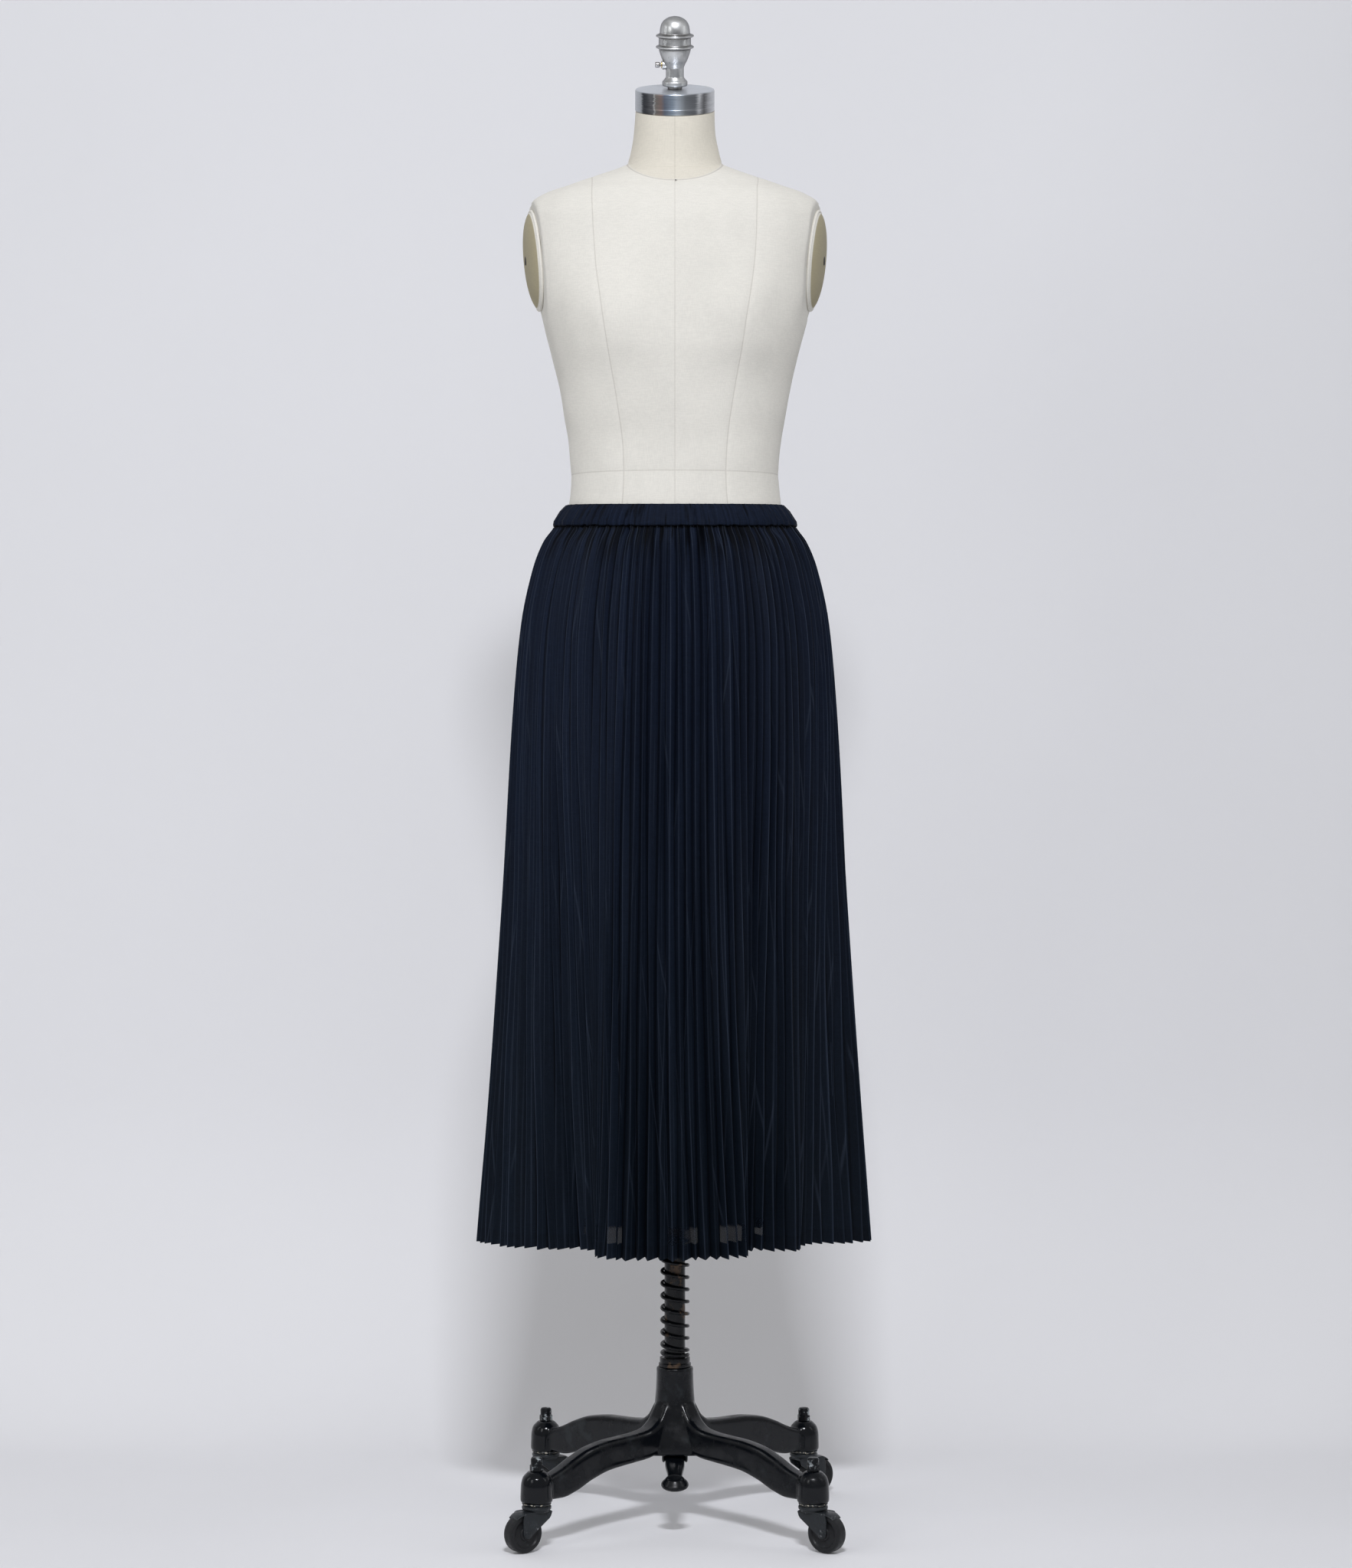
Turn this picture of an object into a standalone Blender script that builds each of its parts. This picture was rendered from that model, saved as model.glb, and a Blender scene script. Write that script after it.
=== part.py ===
"""A pleated skirt with a gathered waistband, worn by a limbless dress form on a castor stand.

Metres, +Z up, -Y to the front. The origin is on the floor, under the middle of the post.
The form, with the skirt on it, slides up and down in the stand. The castors swivel and roll.
"""

import bmesh
import bpy
import numpy as np
from mathutils import Matrix, Vector

# Clearances between neighbouring pieces
GAP = 0.0003
SEAM_GAP = 0.0004

# Skirt cloth
PLEATS_A_PANEL = 52
PLEAT_SKEW = 0.58
CLOTH_WALL = 0.0012
SEAM_HEIGHT = 1.1017
HEM_HEIGHT = 0.3110
HEM_HALF_WIDTH = 0.2215
# Each row is one level of the skirt: its outline over the pleat edges, how deep the pleats
# are, and how much of the large hanging folds it has.
SKIRT_COLUMNS = ("height", "half_width", "front", "back", "pleat_depth", "fold_share")
SKIRT_LEVELS = (
    (SEAM_HEIGHT, 0.1352, 0.1095, 0.0990, 0.0040, 0.00),
    (1.0860, 0.1465, 0.1180, 0.1080, 0.0050, 0.00),
    (1.0550, 0.1585, 0.1260, 0.1190, 0.0060, 0.00),
    (0.9950, 0.1712, 0.1340, 0.1300, 0.0066, 0.00),
    (0.9000, 0.1800, 0.1400, 0.1370, 0.0075, 0.08),
    (0.6800, 0.1932, 0.1510, 0.1480, 0.0094, 0.42),
    (HEM_HEIGHT, HEM_HALF_WIDTH, 0.1680, 0.1680, 0.0135, 1.00),
)
# Crests and troughs of the large folds at the hem. The angle runs from the right side seam
# (0) over the front (90) to the left side seam (180) and the back (270).
FOLD_COLUMNS = ("angle", "reach")
HEM_FOLDS = (
    (0, 1.00),
    (6, 0.96),
    (14, 0.74),
    (26, 0.69),
    (36, 0.82),
    (43, 0.83),
    (51, 0.66),
    (59, 0.72),
    (68, 0.88),
    (80, 0.96),
    (90, 1.00),
    (104, 1.02),
    (115, 0.93),
    (127, 0.68),
    (138, 0.65),
    (148, 0.83),
    (160, 0.91),
    (174, 0.98),
    (180, 1.00),
    (186, 0.97),
    (198, 0.74),
    (219, 0.93),
    (237, 0.70),
    (255, 0.98),
    (272, 1.01),
    (286, 0.96),
    (303, 0.70),
    (323, 0.92),
    (342, 0.73),
    (354, 0.97),
    (360, 1.00),
)
FOLD_SOFTENING = 7.0

# Waistband: an elastic casing, gathered
GATHERS = 56
BAND_TOP = 1.1270
BAND_BOTTOM = SEAM_HEIGHT + GAP
BAND_COLUMNS = ("height", "half_width", "front", "back", "gather_depth")
BAND_OUTSIDE = (
    (BAND_TOP, 0.1203, 0.0966, 0.0856, 0.0006),
    (1.1185, 0.1290, 0.1040, 0.0932, 0.0022),
    (1.1090, 0.1348, 0.1090, 0.0984, 0.0024),
    (BAND_BOTTOM, 0.1352, 0.1095, 0.0990, 0.0010),
)
BAND_INSIDE = (
    (BAND_BOTTOM, 0.1300, 0.1043, 0.0938, 0.0),
    (BAND_TOP, 0.1183, 0.0945, 0.0835, 0.0),
)

# Dress form
FORM_BOTTOM = 0.8550
NECK_TOP = 1.5647
NECK_TILT = 17.0
FORM_SIDES = 30
FORM_COLUMNS = ("height", "half_width", "front", "back", "squareness", "tilt")
FORM_LEVELS = (
    (FORM_BOTTOM, 0.1460, 0.1000, 0.1080, 2.00, 0.0),
    (0.8850, 0.1600, 0.1100, 0.1180, 2.00, 0.0),
    (0.9300, 0.1640, 0.1170, 0.1220, 2.00, 0.0),
    (0.9750, 0.1595, 0.1180, 0.1180, 2.00, 0.0),
    (1.0200, 0.1495, 0.1130, 0.1090, 2.00, 0.0),
    (1.0600, 0.1370, 0.1060, 0.0965, 2.00, 0.0),
    (1.1000, 0.1245, 0.0980, 0.0875, 2.00, 0.0),
    (BAND_TOP, 0.1178, 0.0940, 0.0830, 2.00, 0.0),
    (1.1600, 0.1150, 0.0910, 0.0810, 2.10, 0.0),
    (1.1950, 0.1175, 0.0920, 0.0850, 2.20, 0.0),
    (1.2300, 0.1235, 0.0960, 0.0920, 2.25, 0.0),
    (1.2650, 0.1300, 0.1010, 0.1000, 2.25, 0.0),
    (1.3000, 0.1385, 0.1050, 0.1070, 2.25, 0.0),
    (1.3350, 0.1475, 0.1050, 0.1100, 2.25, 0.0),
    (1.3750, 0.1590, 0.1010, 0.1100, 2.25, 0.0),
    (1.4150, 0.1680, 0.0930, 0.1060, 2.25, 0.0),
    (1.4450, 0.1700, 0.0840, 0.0990, 2.20, 0.0),
    (1.4600, 0.1620, 0.0760, 0.0910, 2.15, 0.0),
    (1.4710, 0.1457, 0.0690, 0.0830, 2.10, 0.0),
    (1.4830, 0.1140, 0.0610, 0.0740, 2.05, 3.0),
    (1.4950, 0.0840, 0.0550, 0.0660, 2.00, 6.0),
    (1.5060, 0.0590, 0.0510, 0.0570, 2.00, 10.0),
    (1.5220, 0.0478, 0.0470, 0.0480, 2.00, NECK_TILT),
    (1.5410, 0.0450, 0.0450, 0.0450, 2.00, NECK_TILT),
    (NECK_TOP, 0.0437, 0.0437, 0.0437, 2.00, NECK_TILT),
)
BUST_HEIGHT = 1.3250
BUST_SPREAD = 0.0780
BUST_RADIUS = 0.0520
BUST_RISE = 0.0160
# The arm plates lie on flat sides, which lean in towards the bottom and face a little forward.
ARM_PLATE_HEIGHT = 1.3980
ARM_SIDE_X = 0.1535
ARM_SIDE_SLOPE = 0.0950
ARM_SIDE_TWIST = 0.1800
ARM_PLATE_HALF_HEIGHT = 0.0540
ARM_PLATE_HALF_WIDTH = 0.0400
ARM_PLATE_DOME = 0.0120
ARM_PLATE_SIDES = 16

# Neck cap and finial, on the neck's own tilted axis
CAP_RADIUS = 0.0440
CAP_HEIGHT = 0.0236
FINIAL_PROFILE = (
    (0.0000, 0.0000),
    (0.0080, 0.0000),
    (0.0080, 0.0020),
    (0.0138, 0.0030),
    (0.0143, 0.0072),
    (0.0100, 0.0135),
    (0.0102, 0.0225),
    (0.0140, 0.0310),
    (0.0180, 0.0405),
    (0.0211, 0.0458),
    (0.0181, 0.0522),
    (0.0211, 0.0585),
    (0.0180, 0.0620),
    (0.0157, 0.0700),
    (0.0098, 0.0770),
    (0.0000, 0.0797),
)
FINIAL_SIDES = 14
SCREW_HEIGHT = 0.0265
SCREW_HEAD_X = 0.0165
SCREW_END_X = 0.0218
SCREW_SHANK_RADIUS = 0.0020
SCREW_HEAD_RADIUS = 0.0031
BOSS_RADIUS = 0.0052
BOSS_END_X = 0.0138

# Post, spring and collars
POST_RADIUS = 0.0115
POST_BOTTOM = 0.0950
FLANGE_RADIUS = 0.0450
FLANGE_HEIGHT = 0.0060
STOP_HEIGHT = 0.3810
STOP_THICKNESS = 0.0120
SPRING_WIRE = 0.0042
SPRING_RADIUS = 0.0143
SPRING_PITCH = 0.0132
SPRING_STEPS_A_TURN = 10

# Stand casting
HUB_TOP = 0.1720
HUB_BOTTOM = 0.0810
HUB_BORE = 0.0120
HUB_PROFILE = (
    (0.0060, HUB_TOP),
    (0.0190, HUB_TOP),
    (0.0205, 0.1700),
    (0.0209, 0.1480),
    (0.0224, 0.1300),
    (0.0250, 0.1140),
    (0.0275, 0.1020),
    (0.0290, 0.0880),
    (0.0275, HUB_BOTTOM),
    (0.0060, HUB_BOTTOM),
)
COLLAR_HEIGHT = 0.0100
COLLAR_RADIUS = 0.0167
CASTOR_SPREAD = 0.1480
# A leg's outline in its own upright plane, from the hub outwards
LEG_COLUMNS = ("reach", "top", "bottom", "half_thickness")
LEG_STATIONS = (
    (0.0145, 0.1440, 0.0830, 0.0100),
    (0.0240, 0.1290, 0.0828, 0.0118),
    (0.0330, 0.1160, 0.0815, 0.0118),
    (0.0480, 0.1080, 0.0770, 0.0108),
    (0.0700, 0.1055, 0.0750, 0.0096),
    (0.1050, 0.1040, 0.0720, 0.0092),
    (0.1330, 0.1000, 0.0650, 0.0090),
    (0.1570, 0.0920, 0.0560, 0.0090),
    (0.1760, 0.0835, 0.0520, 0.0090),
    (0.1980, 0.0760, 0.0525, 0.0085),
)
LEG_EDGE = 0.0030
BELL_BOTTOM = 0.0516
BELL_TOP = 0.0846
BELL_PROFILE = (
    (0.0000, BELL_BOTTOM),
    (0.0166, BELL_BOTTOM),
    (0.0174, 0.0560),
    (0.0170, 0.0690),
    (0.0150, 0.0780),
    (0.0085, BELL_TOP),
    (0.0000, BELL_TOP),
)
NUT_RADIUS = 0.0074
NUT_HEIGHT = 0.0145

# Castors
WHEEL_RADIUS = 0.0205
WHEEL_HALF_WIDTH = 0.0080
WHEEL_SIDES = 20
WHEEL_BORE = 0.0034
AXLE_RADIUS = 0.0030
AXLE_HEAD_RADIUS = 0.0042
CASTOR_TRAIL = 0.0178
RACE_TOP = BELL_BOTTOM - GAP
RACE_PROFILE = (
    (0.0000, 0.0420),
    (0.0140, 0.0420),
    (0.0140, 0.0442),
    (0.0159, 0.0450),
    (0.0159, 0.0474),
    (0.0136, 0.0483),
    (0.0158, RACE_TOP),
    (0.0000, RACE_TOP),
)
FORK_INSIDE = WHEEL_HALF_WIDTH + 0.0006
FORK_PLATE = 0.0022
# The crown over the wheel, in points of (ahead of the swivel, top)
CROWN = ((-0.0125, 0.0440), (0.0200, 0.0440), (0.0290, 0.0412), (0.0345, 0.0362))
CROWN_THICKNESS = 0.0021
# Name, side of the stand across and along, and the way that the wheel trails across
CASTORS = (
    ("front_left", -1, -1, -1),
    ("front_right", 1, -1, 1),
    ("back_left", -1, 1, 1),
    ("back_right", 1, 1, 1),
)
TRAIL_SIDEWAYS = 0.80
TRAIL_LENGTHWAYS = 0.60

# Release pedal, under the front of the hub
PEDAL_AXIS = (0.0, -0.0215, 0.0740)
PEDAL_KNUCKLE_RADIUS = 0.0062
PEDAL_REAR_HALF_WIDTH = 0.0105
PEDAL_FRONT_HALF_WIDTH = 0.0085
PEDAL_PAD_Y = -0.0585
PEDAL_PAD_DROP = 0.0150
PEDAL_PAD_RADIUS = 0.0152
PEDAL_THICKNESS = 0.0085
LUG_THICKNESS = 0.0032
LUG_DROP = 0.0135

COLOURS = {
    "navy_cloth": ((0.012, 0.017, 0.034), 0.85, 0.0),
    "form_canvas": ((0.74, 0.70, 0.61), 0.90, 0.0),
    "polished_metal": ((0.62, 0.64, 0.67), 0.22, 1.0),
    "cast_metal": ((0.56, 0.58, 0.60), 0.45, 1.0),
    "black_iron": ((0.016, 0.017, 0.019), 0.42, 0.0),
    "black_steel": ((0.020, 0.020, 0.022), 0.30, 0.6),
    "black_rubber": ((0.014, 0.014, 0.015), 0.60, 0.0),
}


def clear_scene():
    for thing in list(bpy.data.objects):
        bpy.data.objects.remove(thing, do_unlink=True)


def material(name):
    """The named Principled material, made once."""
    found = bpy.data.materials.get(name)
    if found:
        return found
    colour, roughness, metallic = COLOURS[name]
    made = bpy.data.materials.new(name)
    made.use_nodes = True
    shader = made.node_tree.nodes["Principled BSDF"]
    shader.inputs["Base Color"].default_value = (*colour, 1.0)
    shader.inputs["Roughness"].default_value = roughness
    shader.inputs["Metallic"].default_value = metallic
    return made


def new_empty(name, place=(0, 0, 0), turn=0.0, parent=None):
    empty = bpy.data.objects.new(name, None)
    bpy.context.scene.collection.objects.link(empty)
    empty.location = place
    empty.rotation_euler = (0, 0, turn)
    empty.parent = parent
    return empty


def add_object(name, mesh, finish, parent=None, smooth=35.0):
    mesh.materials.append(material(finish))
    if smooth:
        mesh.shade_smooth()
        mesh.set_sharp_from_angle(angle=np.radians(smooth))
    made = bpy.data.objects.new(name, mesh)
    bpy.context.scene.collection.objects.link(made)
    made.parent = parent
    return made


def mesh_of(name, points, faces):
    """A mesh whose faces all point outwards."""
    mesh = bpy.data.meshes.new(name)
    mesh.from_pydata([tuple(p) for p in points], [], faces)
    shape = bmesh.new()
    shape.from_mesh(mesh)
    bmesh.ops.recalc_face_normals(shape, faces=shape.faces)
    shape.to_mesh(mesh)
    shape.free()
    return mesh


def lofted(name, loops, caps=True):
    """Skins closed loops of points, all of one length, and closes the first and the last."""
    count = len(loops[0])
    points = [p for loop in loops for p in loop]
    faces = []
    for row in range(len(loops) - 1):
        for i in range(count):
            j = (i + 1) % count
            low, high = row * count, (row + 1) * count
            faces.append((low + i, low + j, high + j, high + i))
    if caps:
        last = (len(loops) - 1) * count
        faces.append(tuple(range(count))[::-1])
        faces.append(tuple(range(last, last + count)))
    return mesh_of(name, points, faces)


def turned(name, profile, sides, phase=0.0, closed=False):
    """Spins a profile of (radius, height) about Z. A closed profile makes a ring."""
    shape = bmesh.new()
    start = Matrix.Rotation(phase, 4, "Z")
    corners = [shape.verts.new(start @ Vector((r, 0, z))) for r, z in profile]
    pairs = list(zip(corners, corners[1:]))
    if closed:
        pairs.append((corners[-1], corners[0]))
    edges = [shape.edges.new(pair) for pair in pairs]
    bmesh.ops.spin(
        shape,
        geom=corners + edges,
        cent=(0, 0, 0),
        axis=(0, 0, 1),
        angle=2 * np.pi,
        steps=sides,
        use_duplicate=False,
    )
    bmesh.ops.remove_doubles(shape, verts=shape.verts, dist=1e-6)
    bmesh.ops.recalc_face_normals(shape, faces=shape.faces)
    mesh = bpy.data.meshes.new(name)
    shape.to_mesh(mesh)
    shape.free()
    return mesh


def as_tool(thing):
    """Marks an object as a guide that only shapes another."""
    thing.hide_render = True
    thing.display_type = "WIRE"
    return thing


def combine(body, tool, operation):
    modifier = body.modifiers.new(f"{operation.lower()}_{tool.name}", "BOOLEAN")
    modifier.operation = operation
    modifier.object = as_tool(tool)


def column(rows, columns, name):
    return np.array([row[columns.index(name)] for row in rows], float)


def outline(angles, half_width, front, back, squareness=2.0):
    """Points round a section. The angle runs from +X over the front to -X and the back."""
    across = np.cos(angles)
    ahead = np.sin(angles)
    depth = np.where(ahead > 0, front, back)
    power = 2.0 / squareness
    x = half_width * np.sign(across) * np.abs(across) ** power
    y = -depth * np.sign(ahead) * np.abs(ahead) ** power
    return np.stack([x, y], axis=1)


# Skirt panels


def fold_reach(angles):
    """How far the cloth reaches at the hem, as a share: the fold table with its corners eased."""
    degrees = np.arange(-45.0, 405.0, 0.5)
    reach = np.interp(
        np.mod(degrees, 360),
        column(HEM_FOLDS, FOLD_COLUMNS, "angle"),
        column(HEM_FOLDS, FOLD_COLUMNS, "reach"),
    )
    window = np.hanning(int(4 * FOLD_SOFTENING) + 1)
    eased = np.convolve(reach, window / window.sum(), mode="same")
    return np.interp(np.degrees(angles), degrees, eased)


def panel_curve(level, first_angle, samples=1500):
    """Points along half of one level's outline, with the distance run so far."""
    _, half_width, front, back, _, fold_share = level
    angles = np.linspace(first_angle, first_angle + np.pi, samples)
    points = outline(angles, half_width, front, back)
    reach = 1 - fold_share * (1 - fold_reach(angles))
    points = points * reach[:, None]
    run = np.r_[0, np.cumsum(np.linalg.norm(np.diff(points, axis=0), axis=1))]
    return points, run


def radial_wall(points):
    """How thick the wall is towards the axis at each point, to be the cloth's wall across."""
    steps = np.diff(points, axis=0)
    middles = (points[1:] + points[:-1]) / 2
    lengths = np.linalg.norm(steps, axis=1) * np.linalg.norm(middles, axis=1)
    sines = np.abs(steps[:, 0] * middles[:, 1] - steps[:, 1] * middles[:, 0]) / lengths
    walls = CLOTH_WALL / sines
    return np.maximum(np.r_[walls[0], walls], np.r_[walls, walls[-1]])


def pleated_ring(level, first_angle):
    """The outer and the inner row of points of one level; the pleats fold towards the axis."""
    height, pleat_depth = level[0], level[4]
    points, run = panel_curve(level, first_angle)
    pleat = run[-1] / PLEATS_A_PANEL
    stations = [SEAM_GAP / 2]
    depths = [pleat_depth]
    for i in range(PLEATS_A_PANEL):
        stations += [(i + PLEAT_SKEW) * pleat, (i + 1) * pleat]
        depths += [0.0, pleat_depth]
    stations[-1] = run[-1] - SEAM_GAP / 2
    at = np.stack([np.interp(stations, run, points[:, k]) for k in (0, 1)], axis=1)
    inward = -at / np.linalg.norm(at, axis=1)[:, None]
    outer = at + inward * np.array(depths)[:, None]
    inner = outer + inward * radial_wall(outer)[:, None]
    levels = np.full((len(outer), 1), height)
    return np.hstack([outer, levels]), np.hstack([inner, levels])


def skirt_panel(name, first_angle, parent):
    """One pleated panel: a wall lofted through the levels, open at the hem and the waist."""
    loops = []
    for level in SKIRT_LEVELS:
        outer, inner = pleated_ring(level, first_angle)
        loops.append(np.vstack([outer, inner[::-1]]))
    count = len(loops[0])
    half = count // 2
    points = np.vstack(loops)
    faces = []
    for row in range(len(loops) - 1):
        low, high = row * count, (row + 1) * count
        for i in range(count):
            j = (i + 1) % count
            faces.append((low + i, low + j, high + j, high + i))
    for start in (0, (len(loops) - 1) * count):
        for i in range(half - 1):
            mate = count - 1 - i
            faces.append((start + i, start + i + 1, start + mate - 1, start + mate))
    return add_object(name, mesh_of(name, points, faces), "navy_cloth", parent, smooth=20.0)


def waistband(parent):
    """A gathered ring: soft ridges on its outer side, plain where it grips the form."""
    count = GATHERS * 2
    angles = np.arange(count) * 2 * np.pi / count
    ridge = np.where(np.arange(count) % 2 == 0, 0.0, 1.0)
    unevenness = 0.75 + 0.25 * np.sin(5 * angles) * np.cos(3 * angles + 1.0)
    loops = []
    for height, half_width, front, back, gather in BAND_OUTSIDE + BAND_INSIDE:
        points = outline(angles, half_width, front, back)
        radius = np.linalg.norm(points, axis=1)
        points *= (1 - gather * ridge * unevenness / radius)[:, None]
        loops.append(np.hstack([points, np.full((count, 1), height)]))
    loops.append(loops[0])
    rows = len(loops) - 1
    faces = []
    for row in range(rows):
        for i in range(count):
            j = (i + 1) % count
            high = (row + 1) % rows * count
            low = row * count
            faces.append((low + i, low + j, high + j, high + i))
    points = np.vstack(loops[:rows])
    return add_object("waistband", mesh_of("waistband", points, faces), "navy_cloth", parent)


# Dress form


def arm_side(along, height):
    """How far out the flat side under the arm plate is."""
    return ARM_SIDE_X + ARM_SIDE_TWIST * along + ARM_SIDE_SLOPE * (height - ARM_PLATE_HEIGHT)


def form_ring(height, half_width, front, back, squareness, tilt):
    """One level of the torso, with the bust's rise, the flat arm sides and the neck's lean."""
    angles = (np.arange(FORM_SIDES) + 0.5) * 2 * np.pi / FORM_SIDES
    points = outline(angles, half_width, front, back, squareness)
    x, y = points[:, 0].copy(), points[:, 1].copy()
    for side in (-1, 1):
        away = ((x - side * BUST_SPREAD) ** 2 + (height - BUST_HEIGHT) ** 2) / BUST_RADIUS**2
        y -= np.where(y < 0, BUST_RISE * np.exp(-away), 0.0)
    if abs(height - ARM_PLATE_HEIGHT) < 1.25 * ARM_PLATE_HALF_HEIGHT:
        limit = arm_side(y, height)
        x = np.clip(x, -limit, limit)
    z = height + y * np.tan(np.radians(tilt))
    return np.stack([x, y, z], axis=1)


def torso(parent):
    loops = [form_ring(*level) for level in FORM_LEVELS]
    return add_object("form_torso", lofted("form_torso", loops), "form_canvas", parent, 60.0)


def arm_plate(name, side, parent):
    """A shallow dome on the flat side, where an arm would start."""
    angles = np.arange(ARM_PLATE_SIDES) * 2 * np.pi / ARM_PLATE_SIDES
    loops = []
    for share, rise in ((0.96, 0.0), (1.0, 0.12), (0.93, 0.45), (0.68, 0.82), (0.25, 1.0)):
        up = share * ARM_PLATE_HALF_HEIGHT * np.sin(angles)
        along = share * ARM_PLATE_HALF_WIDTH * np.cos(angles)
        height = ARM_PLATE_HEIGHT + up
        out = arm_side(along, height) + GAP + rise * ARM_PLATE_DOME
        loops.append(np.stack([side * out, along, height], axis=1))
    return add_object(name, lofted(name, loops), "form_canvas", parent, 60.0)


def neck_fittings(form):
    """The cap, the finial and its set screw share the neck's leaning axis."""
    lean = new_empty("neck_axis", (0, 0, NECK_TOP), parent=form)
    lean.rotation_euler = (np.radians(NECK_TILT), 0, 0)
    low, high = GAP, GAP + CAP_HEIGHT
    cap = (
        (0.0, low),
        (CAP_RADIUS - 0.0006, low),
        (CAP_RADIUS, low + 0.0010),
        (CAP_RADIUS, high - 0.0018),
        (CAP_RADIUS - 0.0016, high),
        (0.0, high),
    )
    add_object("neck_cap", turned("neck_cap", cap, 32), "polished_metal", lean, 30.0)
    seat = high + GAP
    finial = add_object(
        "finial", turned("finial", FINIAL_PROFILE, FINIAL_SIDES), "cast_metal", lean, 50.0
    )
    finial.location = (0, 0, seat)
    boss = add_object(
        "finial_boss",
        turned("finial_boss", ((0, 0), (BOSS_RADIUS, 0), (BOSS_RADIUS, 0.004), (0, 0.004)), 10),
        "cast_metal",
        lean,
    )
    boss.location = (-BOSS_END_X + 0.004, 0, seat + SCREW_HEIGHT)
    boss.rotation_euler = (0, -np.pi / 2, 0)
    combine(finial, boss, "UNION")
    shank, head = SCREW_HEAD_X - BOSS_END_X - GAP, SCREW_END_X - SCREW_HEAD_X
    profile = (
        (0, 0),
        (SCREW_SHANK_RADIUS, 0),
        (SCREW_SHANK_RADIUS, shank),
        (SCREW_HEAD_RADIUS, shank),
        (SCREW_HEAD_RADIUS, shank + head),
        (0, shank + head),
    )
    screw = add_object(
        "finial_screw", turned("finial_screw", profile, 8), "cast_metal", lean, 20.0
    )
    screw.location = (-BOSS_END_X - GAP, 0, seat + SCREW_HEIGHT)
    screw.rotation_euler = (0, -np.pi / 2, 0)


# Post and spring


def post_fittings(form, stand):
    """The post and its flange carry the form; the spring stands between two collars."""
    flange_top = FORM_BOTTOM - GAP
    flange = (
        (0, flange_top - FLANGE_HEIGHT),
        (FLANGE_RADIUS, flange_top - FLANGE_HEIGHT),
        (FLANGE_RADIUS, flange_top),
        (0, flange_top),
    )
    add_object("form_flange", turned("form_flange", flange, 24), "black_steel", form, 30.0)
    post_top = flange_top - FLANGE_HEIGHT - GAP
    post = (
        (0, POST_BOTTOM),
        (POST_RADIUS - 0.0012, POST_BOTTOM),
        (POST_RADIUS, POST_BOTTOM + 0.0012),
        (POST_RADIUS, post_top),
        (0, post_top),
    )
    add_object("post", turned("post", post, 20), "black_steel", form, 30.0)
    bore = POST_RADIUS + GAP
    stop = (
        (bore, STOP_HEIGHT),
        (COLLAR_RADIUS, STOP_HEIGHT),
        (COLLAR_RADIUS, STOP_HEIGHT + STOP_THICKNESS),
        (bore, STOP_HEIGHT + STOP_THICKNESS),
    )
    add_object("spring_stop", turned("spring_stop", stop, 20, closed=True), "black_steel", form)
    low = HUB_TOP + GAP
    seat = (
        (bore, low),
        (COLLAR_RADIUS + 0.0012, low),
        (COLLAR_RADIUS + 0.0012, low + 0.0035),
        (COLLAR_RADIUS, low + 0.0050),
        (COLLAR_RADIUS, low + COLLAR_HEIGHT),
        (bore, low + COLLAR_HEIGHT),
    )
    add_object("spring_seat", turned("spring_seat", seat, 20, closed=True), "black_steel", stand)
    spring_low = low + COLLAR_HEIGHT + GAP
    spring_high = STOP_HEIGHT - GAP
    mesh = spring_mesh(spring_low, spring_high)
    add_object("spring", mesh, "black_steel", stand, 80.0)


def spring_mesh(low, high):
    """A left-handed helix of five-sided wire; its two end turns lie flat on their collars."""
    turns = round((high - low) / SPRING_PITCH)
    steps = turns * SPRING_STEPS_A_TURN
    share = np.linspace(0, turns, steps + 1)
    low, high = low + SPRING_WIRE / 2, high - SPRING_WIRE / 2
    lie = SPRING_WIRE + 3 * GAP
    heights = np.interp(share, (0, 1, turns - 1, turns), (low, low + lie, high - lie, high))
    corners = np.arange(5) * 2 * np.pi / 5
    loops = []
    for turn, height in zip(share, heights):
        out = np.array([np.cos(2 * np.pi * turn), -np.sin(2 * np.pi * turn), 0.0])
        centre = out * SPRING_RADIUS + (0, 0, height)
        across = np.outer(np.cos(corners), out) + np.outer(np.sin(corners), (0, 0, 1))
        loops.append(centre + across * SPRING_WIRE / 2)
    return lofted("spring", loops)


# Stand casting


def leg_mesh(name, side_x, side_y):
    """One arched leg, its section an upright bar with its edges taken off."""
    outwards = np.array([side_x, side_y]) / np.sqrt(2)
    sideways = np.array([-outwards[1], outwards[0]])
    loops = []
    for reach, top, bottom, half in LEG_STATIONS:
        centre = outwards * reach
        ring = (
            (-half + LEG_EDGE, bottom),
            (half - LEG_EDGE, bottom),
            (half, bottom + LEG_EDGE),
            (half, top - LEG_EDGE),
            (half - LEG_EDGE, top),
            (-half + LEG_EDGE, top),
            (-half, top - LEG_EDGE),
            (-half, bottom + LEG_EDGE),
        )
        loops.append([(*(centre + sideways * across), z) for across, z in ring])
    return lofted(name, loops)


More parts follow.
